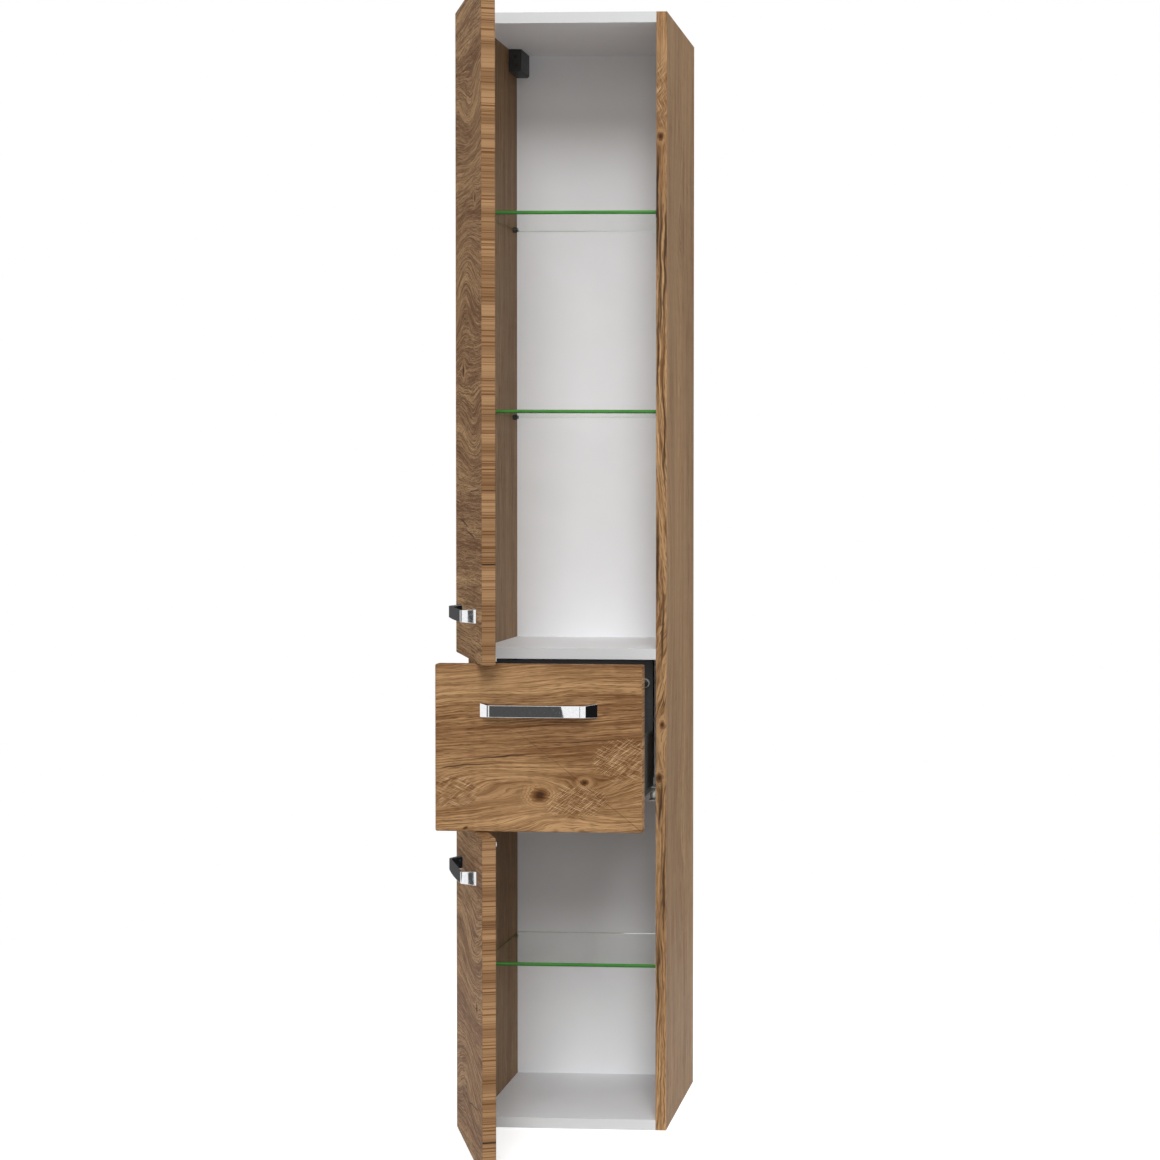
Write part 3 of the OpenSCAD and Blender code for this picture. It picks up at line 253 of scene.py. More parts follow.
class Finish:
    """A finish in the making: its shader nodes, with one method for each kind of step."""

    def __init__(self, name):
        self.material = bpy.data.materials.new(name)
        self.material.use_nodes = True
        self.nodes = self.material.node_tree.nodes
        self.links = self.material.node_tree.links
        self.nodes.clear()
        self.output = self.nodes.new("ShaderNodeOutputMaterial")
        self.place = self.nodes.new("ShaderNodeTexCoord").outputs["Object"]

    def feed(self, socket, value):
        """A socket gets another step's result, or else a plain number or colour."""
        if isinstance(value, bpy.types.NodeSocket):
            self.links.new(value, socket)
        else:
            socket.default_value = value

    def math(self, operation, *values):
        """One sum."""
        step = self.nodes.new("ShaderNodeMath")
        step.operation = operation
        for socket, value in zip(step.inputs, values):
            self.feed(socket, value)
        return step.outputs[0]

    def turned(self, vector, degrees, shift):
        """The place turned about the upright axis and shifted, as an open door's is when it closes."""
        step = self.nodes.new("ShaderNodeMapping")
        step.inputs["Rotation"].default_value = (0, 0, math.radians(degrees))
        step.inputs["Location"].default_value = shift
        self.feed(step.inputs["Vector"], vector)
        return step.outputs[0]

    def split(self, vector):
        """A place as its three numbers."""
        step = self.nodes.new("ShaderNodeSeparateXYZ")
        self.feed(step.inputs[0], vector)
        return step.outputs[0], step.outputs[1], step.outputs[2]

    def joined(self, x, y, z):
        """Three numbers as one place."""
        step = self.nodes.new("ShaderNodeCombineXYZ")
        for socket, value in zip(step.inputs, (x, y, z)):
            self.feed(socket, value)
        return step.outputs[0]

    def stretched(self, x, y, z, per_x, per_y, per_z):
        """A place whose steps are counted per metre, each way by its own number."""
        pairs = ((x, per_x), (y, per_y), (z, per_z))
        return self.joined(*(self.math("MULTIPLY", way, steps) for way, steps in pairs))

    def cloudy(self, vector, scale=1.0, detail=2.0, roughness=0.5, swirl=0.0):
        """A soft noise over a place."""
        step = self.nodes.new("ShaderNodeTexNoise")
        self.feed(step.inputs["Vector"], vector)
        step.inputs["Scale"].default_value = scale
        step.inputs["Detail"].default_value = detail
        step.inputs["Roughness"].default_value = roughness
        step.inputs["Distortion"].default_value = swirl
        return step.outputs["Fac"]

    def swing(self, value, noise, width):
        """The value moved to and fro over a width, by a noise that runs from 0 to 1."""
        return self.math("MULTIPLY_ADD", self.math("SUBTRACT", noise, 0.5), width, value)

    def squares(self, x, y):
        """The square of how far a place is from where both are 0."""
        return self.math("MULTIPLY_ADD", x, x, self.math("MULTIPLY", y, y))

    def ease(self, value, low, high, at_low=0.0, at_high=1.0):
        """A smooth change from at_low to at_high while the value goes from low to high."""
        step = self.nodes.new("ShaderNodeMapRange")
        step.interpolation_type = "SMOOTHSTEP"
        ends = {"From Min": low, "From Max": high, "To Min": at_low, "To Max": at_high}
        for name, number in ends.items():
            step.inputs[name].default_value = number
        self.feed(step.inputs["Value"], value)
        return step.outputs["Result"]

    def spread(self, noise, at_low=0.0, at_high=1.0):
        """A noise spread over the whole way from at_low to at_high."""
        return self.ease(noise, NOISE_LOW, NOISE_HIGH, at_low, at_high)

    def hill(self, x, y, centre, reach):
        """A soft spot: 1 at its centre, falling to nothing past its reach along and across."""
        along = self.math("DIVIDE", self.math("SUBTRACT", x, centre[0] * MM), reach[0] * MM)
        across = self.math("DIVIDE", self.math("SUBTRACT", y, centre[1] * MM), reach[1] * MM)
        return self.math("EXPONENT", self.math("MULTIPLY", self.squares(along, across), -1.0))

    def blend(self, share, first, second):
        """The first colour with a share of the second laid over it."""
        step = self.nodes.new("ShaderNodeMix")
        step.data_type = "RGBA"
        self.feed(step.inputs["Factor"], share)
        self.feed(step.inputs["A"], first)
        self.feed(step.inputs["B"], second)
        return step.outputs["Result"]

    def mottled(self, noise, first, second):
        """A colour that a noise changes softly from the first to the second."""
        return self.blend(self.spread(noise), first, second)

    def relief(self, height, depth, strength):
        """A bump that is up to the depth high."""
        step = self.nodes.new("ShaderNodeBump")
        step.inputs["Strength"].default_value = strength
        step.inputs["Distance"].default_value = depth
        self.feed(step.inputs["Height"], height)
        return step.outputs["Normal"]

    def surface(self, **values):
        """The finished surface, each value named for its socket with _ for a space."""
        step = self.nodes.new("ShaderNodeBsdfPrincipled")
        for name, value in values.items():
            self.feed(step.inputs[name.replace("_", " ")], value)
        self.links.new(step.outputs[0], self.output.inputs["Surface"])
        return self.material


def paint(red, green, blue):
    """A colour written as a screen shows it, from 0 to 255."""

    def plain(level):
        level /= 255
        return level / 12.92 if level <= 0.04045 else ((level + 0.055) / 1.055) ** 2.4

    return (plain(red), plain(green), plain(blue), 1.0)


# The oak's growth from light to dark, its open cracks and sawn patches, and its grey clouds, partly painted sheen
OAK_LIGHT = paint(188, 150, 107)
OAK_MID = paint(144, 108, 75)
OAK_DARK = paint(96, 61, 33)
OAK_CRACK = paint(50, 35, 24)
OAK_SAWN = paint(208, 174, 132)
OAK_PAINTED_SHEEN = paint(146, 120, 88)

# How glossy the fronts and the side panels are, and how far grey clouds of partly painted sheen cover the side
# panels' wide faces
FRONT_SHEEN = 0.07
SIDE_SHEEN = 0.2
SIDE_PAINTED_SHEEN = 0.5

# How the grain's lines wander and ripple: the steps along, across and through the grain, and the width
WANDER_STEPS = (2.2, 7.0, 7.0)
WANDER_WIDTH = 34 * MM
RIPPLE_STEPS = (16.0, 44.0, 30.0)
RIPPLE_WIDTH = 6 * MM

# How widely the ripple swings a crack
CRACK_SWING = 12 * MM

# A knot is longer than it is wide, and its outline is uneven, both as shares of its size
KNOT_LENGTH = 1.35
KNOT_SWING = 0.9

# How far along and across a knot pushes the grain's lines aside, in its own sizes, and how strongly
PUSH_ALONG = 5.0
PUSH_ACROSS = 2.4
PUSH = 0.8

# Through a board the pattern changes at this share of its pace on the face
THROUGH = 0.12

# Each layer of growth: its steps along, across and through the grain, its detail and its roughness
GROWTH = {
    "broad": (1.1, 24.0, 24.0, 2.0, 0.5),
    "bands": (2.6, 120.0, 60.0, 3.0, 0.6),
    "streaks": (8.0, 380.0, 160.0, 3.0, 0.65),
    "fine": (20.0, 820.0, 320.0, 2.0, 0.6),
    "pores": (50.0, 1250.0, 600.0, 1.0, 0.5),
}
# What each layer adds: the thresholds between which its share changes, its share at both, and its colour
TINTS = (
    ("broad", 0.32, 0.68, 0.0, 1.0, OAK_LIGHT),
    ("bands", 0.34, 0.6, 0.56, 0.0, OAK_DARK),
    ("streaks", 0.36, 0.5, 0.74, 0.0, OAK_DARK),
    ("streaks", 0.54, 0.66, 0.0, 0.6, OAK_LIGHT),
    ("fine", 0.36, 0.5, 0.6, 0.0, OAK_DARK),
    ("pores", 0.55, 0.65, 0.0, 0.6, OAK_CRACK),
)
# The two ways that the saw crossed the wood: its slant, and where its pattern starts
SAW_WAYS = ((0.42, 0.0), (-0.8, 3.0))
# The steps of a saw mark's pattern along its stroke and across it
SAW_ALONG = 30.0
SAW_ACROSS = 900.0
# The edge band's steps across its fine stripes and its broad ones, and a dark line's reach in its widths
FINE_STRIPES = 330.0
BROAD_STRIPES = 36.0
LINE_REACH = 1.4


def grow_knot(f, colour, along, across, fine, where, size):
    """A knot: a dark heart in a brown ring, thin rings round it and a pale halo. reach is 1 at its rim."""
    far = f.math("DIVIDE", f.math("SUBTRACT", along, where[0] * MM), size * KNOT_LENGTH * MM)
    wide = f.math("DIVIDE", f.math("SUBTRACT", across, where[1] * MM), size * MM)
    reach = f.swing(f.math("SQRT", f.squares(far, wide)), fine, KNOT_SWING)
    halo = f.math("MULTIPLY", f.ease(reach, 0.9, 1.4), f.ease(reach, 1.5, 2.7, 0.45, 0.0))
    colour = f.blend(halo, colour, OAK_LIGHT)
    rings = f.ease(f.math("FRACT", f.math("MULTIPLY", reach, 2.6)), 0.45, 0.9)
    rings = f.math("MULTIPLY", rings, f.ease(reach, 1.2, 3.2, 0.55, 0.0))
    colour = f.blend(rings, colour, OAK_DARK)
    colour = f.blend(f.ease(reach, 0.65, 1.2, 0.9, 0.0), colour, OAK_DARK)
    return f.blend(f.ease(reach, 0.3, 0.75, 0.85, 0.0), colour, OAK_CRACK)


def saw_marks(f, colour, along, across, through, where, reach, bands):
    """A patch of crossing saw marks, pale where the blade raised the wood and dark between."""
    patch = f.math("MULTIPLY", f.hill(along, across, where, reach), f.ease(bands, 0.25, 0.55, 0.4, 1.0))
    patch = f.ease(patch, 0.18, 0.5)
    colour = f.blend(f.math("MULTIPLY", patch, 0.42), colour, OAK_DARK)
    for slant, start in SAW_WAYS:
        lean = f.math("MULTIPLY_ADD", along, slant, across)
        back = f.math("MULTIPLY_ADD", across, -slant, along)
        stroke = f.math("MULTIPLY_ADD", back, SAW_ALONG, start)
        mark = f.cloudy(f.joined(stroke, f.math("MULTIPLY", lean, SAW_ACROSS), through), detail=2.0)
        pale = f.math("MULTIPLY", f.ease(mark, 0.56, 0.61), patch)
        colour = f.blend(f.math("MULTIPLY", pale, 0.6), colour, OAK_SAWN)
        dark = f.math("MULTIPLY", f.ease(mark, 0.38, 0.46, 1.0, 0.0), patch)
        colour = f.blend(f.math("MULTIPLY", dark, 0.65), colour, OAK_DARK)
    return colour


def edge_stripes(f, colour, along, across, through, striped):
    """The edge band on a front's upright edges, where the grain of its faces runs on as short stripes."""
    fine = f.stretched(along, across, through, 1.0, FINE_STRIPES, 4.0)
    broad = f.stretched(along, across, through, 1.0, BROAD_STRIPES, 1.0)
    stripe = f.cloudy(fine, detail=3.0, roughness=0.7)
    patchy = f.cloudy(broad, detail=1.0)
    tone = f.blend(f.ease(patchy, 0.35, 0.65), paint(130, 98, 68), paint(161, 126, 91))
    tone = f.blend(f.ease(stripe, 0.38, 0.52, 0.9, 0.0), tone, OAK_DARK)
    for level, width, depth in striped:
        reach = width * LINE_REACH
        line = f.hill(across, across, (level, level), (reach, reach))
        tone = f.blend(f.math("MULTIPLY", f.ease(line, 0.2, 0.9), depth), tone, OAK_CRACK)
    band_start = FRONT_HALF - 1 * MM
    band = f.ease(f.math("ABSOLUTE", along), band_start - 0.3 * MM, band_start + 0.3 * MM)
    return f.blend(band, colour, tone)


def grain_lines(f, along, across, through, arches, knots, drift):
    """Which of the grain's lines a place lies on, as arches and knots bend them, and their fine ripple."""
    line = f.math("ADD", across, f.math("MULTIPLY", along, drift))
    for where, reach, lift in arches:
        line = f.math("MULTIPLY_ADD", f.hill(along, across, where, reach), lift * MM, line)
    for where, size in knots:
        spot = f.hill(along, across, where, (size * PUSH_ALONG, size * PUSH_ACROSS))
        offset = f.math("SUBTRACT", across, where[1] * MM)
        line = f.math("SUBTRACT", line, f.math("MULTIPLY", f.math("MULTIPLY", offset, spot), PUSH))
    wander = f.cloudy(f.stretched(along, across, through, *WANDER_STEPS), detail=2.0)
    ripple = f.cloudy(f.stretched(along, across, through, *RIPPLE_STEPS), detail=2.0)
    return f.swing(f.swing(line, wander, WANDER_WIDTH), ripple, RIPPLE_WIDTH), ripple


def growth_colour(f, growth, along, across, shades):
    """The layers of growth laid over each other, and then the spots that are darker or paler."""
    colour = OAK_MID
    for layer, start, end, at_start, at_end, tint in TINTS:
        colour = f.blend(f.ease(growth[layer], start, end, at_start, at_end), colour, tint)
    for where, reach, depth in shades:
        patchy = f.ease(growth["broad"], 0.25, 0.7, 0.6, 1.0)
        shade = f.math("MULTIPLY", f.hill(along, across, where, reach), patchy)
        tint = OAK_DARK if depth > 0 else OAK_LIGHT
        colour = f.blend(f.math("MULTIPLY", shade, abs(depth)), colour, tint)
    return colour


def grey_patches_and_painted_sheen(f, colour, along, across, through):
    """Soft grey clouds on a side panel's wide faces, and none on its front edge: partly the wood's own patches,
    partly painted sheen.
    """
    clouds = f.cloudy(f.stretched(along, across, through, 9.0, 16.0, 10.0), detail=3.0, swirl=0.8)
    share = f.math("MULTIPLY", f.ease(clouds, 0.36, 0.62, 0.35, 1.0), f.ease(across, -6 * MM, 10 * MM))
    return f.blend(f.math("MULTIPLY", share, SIDE_PAINTED_SHEEN), colour, OAK_PAINTED_SHEEN)


def open_cracks(f, colour, height, along, across, ripple, fine, cracks):
    """Thin cracks along the grain, dark and a little sunken."""
    for where, reach, slope in cracks:
        lean = f.math("MULTIPLY_ADD", f.math("SUBTRACT", along, where[0] * MM), -slope, across)
        line = f.hill(along, f.swing(lean, ripple, CRACK_SWING), where, reach)
        line = f.math("MULTIPLY", line, f.ease(fine, 0.25, 0.5, 0.55, 1.0))
        colour = f.blend(f.ease(line, 0.15, 0.85, 0.0, 0.85), colour, OAK_CRACK)
        height = f.math("MULTIPLY_ADD", line, -0.8, height)
    return colour, height


def oak(name, lay, arches=(), knots=(), cracks=(), sawn=(), shades=(), striped=(), drift=0.0, side=False):
    """Rustic oak decor. lay turns a place into along, across and through the grain.
    The tables say where the figure has what, in millimetres, each by its place and then its reach or size:
    arches are followed by their lift, cracks by their slope, and shades by their depth, under 0 where pale.
    striped holds the dark lines on a front's edge band: their height, width and depth."""
    f = Finish(name)
    along, across, through = lay(f)
    through = f.math("MULTIPLY", through, THROUGH)
    line, ripple = grain_lines(f, along, across, through, arches, knots, drift)
    growth = {
        layer: f.cloudy(f.stretched(along, line, through, *steps), detail=detail, roughness=roughness)
        for layer, (*steps, detail, roughness) in GROWTH.items()
    }
    fine = growth["fine"]
    colour = growth_colour(f, growth, along, across, shades)
    # The side panels get grey clouds, partly the wood's own patches and partly painted sheen
    if side:
        colour = grey_patches_and_painted_sheen(f, colour, along, across, through)
    for where, reach in sawn:
        colour = saw_marks(f, colour, along, across, through, where, reach, growth["bands"])
    for where, size in knots:
        colour = grow_knot(f, colour, along, across, fine, where, size)
    pits = f.math("MULTIPLY", f.ease(growth["pores"], 0.55, 0.68), -0.6)
    height = f.math("MULTIPLY_ADD", fine, 0.5, pits)
    colour, height = open_cracks(f, colour, height, along, across, ripple, fine, cracks)
    if striped:
        colour = edge_stripes(f, colour, along, across, through, striped)
    return f.surface(
        Base_Color=colour,
        Roughness=f.spread(fine, 0.68, 0.56),
        Normal=f.relief(height, 0.12 * MM, 0.5),
        Specular_IOR_Level=SIDE_SHEEN if side else FRONT_SHEEN,
    )


def lay_door(f):
    """An open door's place as on the closed door: the grain runs across its width."""
    shift = door_closes.to_translation()
    x, y, z = f.split(f.turned(f.place, DOOR_OPEN, shift))
    return x, z, y


def lay_drawer(f):
    """The drawer front's grain runs across its width too."""
    x, y, z = f.split(f.place)
    return x, z, y


def lay_side(hand):
    """A side panel's grain runs upright and goes on round its front edge. hand is 1 right, and -1 left."""

    def lay(f):
        x, y, z = f.split(f.place)
        return z, f.math("MULTIPLY_ADD", x, hand, y), 0.0

    return lay


def white_board():
    """White melamine board with a faint mottle, and a front edge band that is a touch greyer."""
    f = Finish("white_melamine")
    x, y, z = f.split(f.place)
    mottle = f.cloudy(f.place, scale=9.0, detail=2.0)
    peel = f.cloudy(f.place, scale=900.0, detail=1.0)
    colour = f.mottled(mottle, paint(236, 238, 241), paint(239, 241, 244))
    band_end = SIDE_FRONT + 1 * MM
    band = f.ease(y, band_end - 0.1 * MM, band_end + 0.1 * MM, 1.0, 0.0)
    colour = f.blend(band, colour, paint(206, 207, 208))
    joint = f.math("ABSOLUTE", f.math("SUBTRACT", y, band_end))
    colour = f.blend(f.ease(joint, 0.1 * MM, 0.3 * MM, 0.25, 0.0), colour, paint(150, 150, 150))
    return f.surface(
        Base_Color=colour,
        Roughness=f.spread(mottle, 0.48, 0.54),
        Normal=f.relief(peel, 0.03 * MM, 0.2),
        Specular_IOR_Level=0.3,
    )


def lets_light_by(f, colour):
    """Plain light passes through the glass, so that the boards below and behind it stay lit."""
    path = f.nodes.new("ShaderNodeLightPath")
    clear = f.nodes.new("ShaderNodeBsdfTransparent")
    f.feed(clear.inputs["Color"], colour)
    mix = f.nodes.new("ShaderNodeMixShader")
    f.feed(mix.inputs[0], f.math("MAXIMUM", path.outputs["Is Shadow Ray"], path.outputs["Is Diffuse Ray"]))
    f.links.new(f.output.inputs["Surface"].links[0].from_socket, mix.inputs[1])
    f.links.new(clear.outputs[0], mix.inputs[2])
    f.links.new(mix.outputs[0], f.output.inputs["Surface"])


def shelf_glass():
    """Clear float glass with a faint green cast and a trace of dust."""
    f = Finish("shelf_glass")
    dust = f.cloudy(f.place, scale=60.0, detail=3.0)
    f.surface(
        Base_Color=f.blend(f.ease(dust, 0.4, 0.8), paint(251, 254, 251), paint(246, 251, 247)),
        Roughness=f.ease(dust, 0.45, 0.8, 0.0, 0.06),
        Transmission_Weight=1.0,
        IOR=1.5,
    )
    lets_light_by(f, (1, 1, 1, 1))
    return f.material


def shelf_glass_edge(levels):
    """The polished edge of the glass shelves, where the glass shows its green, with painted reflections in thin
    lines along it and a painted shade along its bottom.
    """
    f = Finish("shelf_glass_edge")
    x, y, z = f.split(f.place)
    # Painted reflections: the green runs lighter and darker in thin lines and patches along the edge
    depth = f.cloudy(f.stretched(x, y, z, 14.0, 14.0, 500.0), detail=2.0)
    green = f.mottled(depth, paint(52, 134, 38), paint(72, 154, 56))
    # A painted shade darkens the bottom of each shelf's edge
    for level in levels:
        height = f.math("ABSOLUTE", f.math("SUBTRACT", z, level + 1.2 * MM))
        painted_bottom_shade = f.ease(height, 0.8 * MM, 1.8 * MM, 0.8, 0.0)
        green = f.blend(painted_bottom_shade, green, paint(26, 92, 20))
    f.surface(
        Base_Color=green,
        Roughness=f.spread(depth, 0.1, 0.22),
        Transmission_Weight=0.1,
        IOR=1.5,
        Specular_IOR_Level=0.25,
    )
    lets_light_by(f, paint(190, 230, 190))
    return f.material


def chrome():
    """Polished chrome plating with a trace of wiping marks."""
    f = Finish("polished_chrome")
    wiped = f.cloudy(f.place, scale=260.0, detail=3.0, swirl=0.6)
    return f.surface(
        Base_Color=f.mottled(wiped, paint(235, 236, 238), paint(245, 245, 246)),
        Metallic=1.0,
        Roughness=f.ease(wiped, 0.4, 0.8, 0.02, 0.05),
    )


def plated(name, dark, light, per_metre, rough, smooth, metal=1.0):
    """Plated or cast metal with a fine uneven sheen."""
    f = Finish(name)
    x, y, z = f.split(f.place)
    drawn = f.cloudy(f.stretched(x, y, z, per_metre, per_metre, per_metre * 0.2), detail=3.0)
    spots = f.cloudy(f.place, scale=45.0, detail=2.0)
    return f.surface(
        Base_Color=f.mottled(spots, dark, light),
        Metallic=metal,
        Roughness=f.spread(drawn, smooth, rough),
        Normal=f.relief(drawn, 0.03 * MM, 0.4),
    )


def moulded(name, dark, light, rough, smooth, clear=0.0):
    """Moulded plastic with a fine eroded texture."""
    f = Finish(name)
    skin = f.cloudy(f.place, scale=1400.0, detail=1.0)
    tone = f.cloudy(f.place, scale=50.0, detail=2.0)
    return f.surface(
        Base_Color=f.mottled(tone, dark, light),
        Roughness=f.spread(skin, smooth, rough),
        Transmission_Weight=clear,
        Normal=f.relief(skin, 0.04 * MM, 0.5),
    )


def drawer_paint():
    """Dark powder coat on the drawer's steel sides, with its fine pebbled skin."""
    f = Finish("dark_powder_coat")
    pebble = f.cloudy(f.place, scale=1100.0, detail=2.0)
    tone = f.cloudy(f.place, scale=18.0, detail=3.0)
    return f.surface(
        Base_Color=f.mottled(tone, paint(108, 111, 109), paint(111, 114, 112)),
        Metallic=0.6,
        Roughness=f.spread(pebble, 0.26, 0.4),
        Normal=f.relief(pebble, 0.05 * MM, 0.5),
    )


def drawer_board():
    """Anthracite melamine of the drawer's bottom and back, with a faint grain."""
    f = Finish("anthracite_melamine")
    x, y, z = f.split(f.place)
    grain = f.cloudy(f.stretched(x, y, z, 20.0, 300.0, 300.0), detail=3.0)
    return f.surface(
        Base_Color=f.mottled(grain, paint(38, 38, 39), paint(50, 50, 51)),
        Roughness=f.spread(grain, 0.42, 0.56),
        Normal=f.relief(grain, 0.05 * MM, 0.4),
    )


def beech():
    """Beech of the dowels: pale, with short dark flecks along the grain."""
    f = Finish("beech")
    x, y, z = f.split(f.place)
    fleck = f.cloudy(f.stretched(x, y, z, 260.0, 1500.0, 1500.0), detail=2.0)
    colour = f.blend(f.ease(fleck, 0.55, 0.7), paint(206, 170, 128), paint(160, 118, 80))
    return f.surface(Base_Color=colour, Roughness=f.spread(fleck, 0.55, 0.7))


front_oak = {
    "upper_door": oak(
        "oak_upper_door",
        lay_door,
        arches=(((60, 1180), (120, 60), 40), ((-30, 1440), (150, 90), -60), ((40, 1700), (140, 70), 50)),
        knots=(((-60, 1290), 9), ((90, 1560), 7)),
        cracks=(
            ((30, 1022), (70, 2.2), -0.12),
            ((-60, 1040), (60, 1.8), -0.1),
            ((80, 1092), (90, 1.5), 0.03),
        ),
        striped=((976, 1.6, 0.95), (995, 1.3, 0.6), (1092, 0.9, 0.5), (1212, 0.9, 0.5), (1390, 1.0, 0.4)),
    ),
    "drawer": oak(
        "oak_drawer",
        lay_drawer,
        arches=(
            ((15, 574), (70, 24), -21),
            ((-75, 630), (75, 22), -18),
            ((98, 606), (60, 28), 18),
            ((-120, 760), (110, 25), -8),
        ),
        knots=(((2, 604), 10.5), ((74, 625), 5)),
        cracks=(
            ((-62, 664), (55, 1.5), 0.1),
            ((-120, 649), (60, 1.3), 0.08),
            ((60, 690), (90, 1.0), 0.06),
            ((-119, 549), (5, 4.0), 0.4),
        ),
        sawn=(((138, 662), (48, 34)), ((58, 594), (52, 26)), ((-139, 607), (42, 26))),
        striped=((700, 1.2, 0.4), (600, 1.0, 0.4)),
        drift=-0.07,
        shades=(
            ((120, 668), (75, 42), 0.62),
            ((-20, 690), (150, 30), 0.42),
            ((0, 765), (190, 40), 0.2),
            ((90, 612), (60, 24), 0.4),
            ((66, 632), (26, 9), 0.6),
            ((6, 604), (24, 17), 0.55),
            ((-60, 600), (80, 20), -0.4),
            ((-60, 795), (120, 22), -0.3),
            ((30, 560), (110, 16), -0.3),
        ),
    ),
    "lower_door": oak(
        "oak_lower_door",
        lay_door,
        arches=(((70, 330), (130, 70), 50), ((-40, 140), (120, 60), -45)),
        knots=(((100, 260), 8),),
        cracks=(((80, 60), (90, 2.0), -0.15), ((60, 92), (80, 1.6), 0.12)),
        striped=((58, 1.8, 0.95), (295, 1.4, 0.6), (402, 0.9, 0.7), (409, 0.8, 0.6), (180, 1.0, 0.4)),
    ),
}
side_oak = {
    "side_panel_left": oak(
        "oak_left_side",
        lay_side(-1),
        arches=(((1200, 60), (160, 60), 45),),
        drift=0.01,
        side=True,
    ),
    "side_panel_right": oak(
        "oak_right_side",
        lay_side(1),
        arches=(((1530, 120), (130, 55), 60), ((900, 40), (180, 60), -50), ((500, 150), (170, 70), 60)),
        knots=(((1691, -17), 5), ((695, -13), 5), ((605, -18), 6)),
        cracks=(
            ((1610, -22), (70, 2.2), 0.03),
            ((1500, -17), (110, 2.4), 0.02),
            ((1400, -15), (60, 2.0), -0.02),
            ((1560, -22), (90, 2.8), 0.0),
            ((1480, -9), (140, 2.4), 0.01),
            ((1330, -20), (100, 2.4), 0.01),
            ((1190, -10), (120, 2.2), -0.01),
            ((980, -21), (90, 2.6), 0.01),
            ((850, -12), (70, 2.2), 0.02),
            ((420, -10), (90, 2.4), 0.0),
            ((250, -20), (100, 2.6), 0.01),
            ((560, -16), (50, 2.4), 0.03),
        ),
        sawn=(((1765, -16), (60, 14)),),
        shades=(
            ((1600, 160), (200, 120), 0.25),
            ((1000, 120), (260, 90), -0.2),
            ((300, 100), (220, 120), 0.25),
            ((1800, -14), (75, 14), -0.6),
            ((1700, -23), (90, 3), 0.3),
            ((1640, -14), (110, 12), 0.3),
        ),
        side=True,
    ),
}

finishes = {
    "white_board": white_board(),
    "glass": shelf_glass(),
    "dark_plastic": moulded("black_plastic", paint(34, 34, 35), paint(44, 44, 45), 0.55, 0.4),
    "black_zinc": plated("black_zinc", paint(30, 30, 31), paint(40, 40, 41), 900.0, 0.5, 0.38, metal=0.3),
    "zinc": plated("zinc_plating", paint(176, 178, 180), paint(200, 202, 204), 900.0, 0.42, 0.26),
    "beech": beech(),
    "plated_steel": plated("nickel_plating", paint(196, 196, 194), paint(214, 214, 212), 700.0, 0.3, 0.16),
    "runner_steel": plated(
        "runner_coat", paint(150, 150, 149), paint(164, 164, 163), 900.0, 0.5, 0.36, metal=0.2
    ),
    "chrome": chrome(),
    "clear_bumper": moulded(
        "clear_bumper", paint(226, 228, 228), paint(240, 241, 241), 0.3, 0.15, clear=0.6
    ),
    "drawer_steel": drawer_paint(),
    "drawer_board": drawer_board(),
    "grey_plastic": moulded("grey_plastic", paint(172, 170, 167), paint(184, 182, 179), 0.5, 0.36),
    "nylon": moulded("white_nylon", paint(226, 224, 218), paint(236, 235, 230), 0.46, 0.32),
}

# Pieces

boards = {"upper_door": "upper_door_panel", "lower_door": "lower_door_panel", "drawer": "drawer_front"}
closing = {"upper_door": door_closes, "lower_door": door_closes, "drawer": drawer_closes}
for front, node in boards.items():
    board = finished(shape_front(node, closing[front]), front, "front_decor", node, front_oak[front])
    keep_flats_flat(board)
    # No mirror sees the boards, so that the handles are as bright as in the photograph
    board.visible_glossy = False

for front, closes in closing.items():
    node = front + "_handle"
    keep_flats_flat(finished(shape_handle(node, closes), front, "chrome", node, finishes["chrome"]))

shelves = ("glass_shelf_high", "glass_shelf_mid", "glass_shelf_low")
glass_edge = shelf_glass_edge([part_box(node)[0][2] for node in shelves])
for node in shelves:
    keep_flats_flat(finished(shape_shelf(node), "carcass", "glass", node, finishes["glass"], glass_edge))

# Every node gets the finish of its slot in the record, and the side panels and front boards get oak
slots = {entry["node"]: entry["material_slot"] for entry in frame["record"]["subparts"]}
for node, piece in nodes.items():
    finish = side_oak.get(node) or finishes.get(slots[node]) or front_oak["upper_door"]
    piece.data.materials.clear()
    piece.data.materials.append(finish)

# Studio

# How strongly the white studio lights the tower, and how strongly it shows itself
LIT_LEVEL = 0.54
SHOWN_LEVEL = 1.0

# The floor: its size and depth, from where to where it turns white, and how much it is lifted to look pale
FLOOR_SIZE = 14
FLOOR_DEPTH = 0.3 * MM
FLOOR_FADES = 0.7
FLOOR_WHITE = 2.2
FLOOR_LIFT = 0.62

# Broad even light from the front: name, degrees up, degrees to the right, degrees across, strength
SUNS = (
    ("key_low", 9, 9, 12, 0.15),
    ("key_middle", 28, 9, 20, 1.3),
    ("key_high", 50, 9, 26, 0.85),
)
# Soft boxes: name, place, aim, size, power and spread in degrees
BOXES = (
    ("fill_right", (4.5, 0.3, 1.6), (0, 0, 1.0), (2.4, 2.6), 27, 180),
    ("fill_left", (-4.5, -0.5, 1.6), (0, 0, 1.0), (2.4, 2.6), 4, 180),
    ("low_front", (0.4, -2.6, 0.25), (0, 0, 2.15), (0.8, 0.5), 0.22, 32),
)
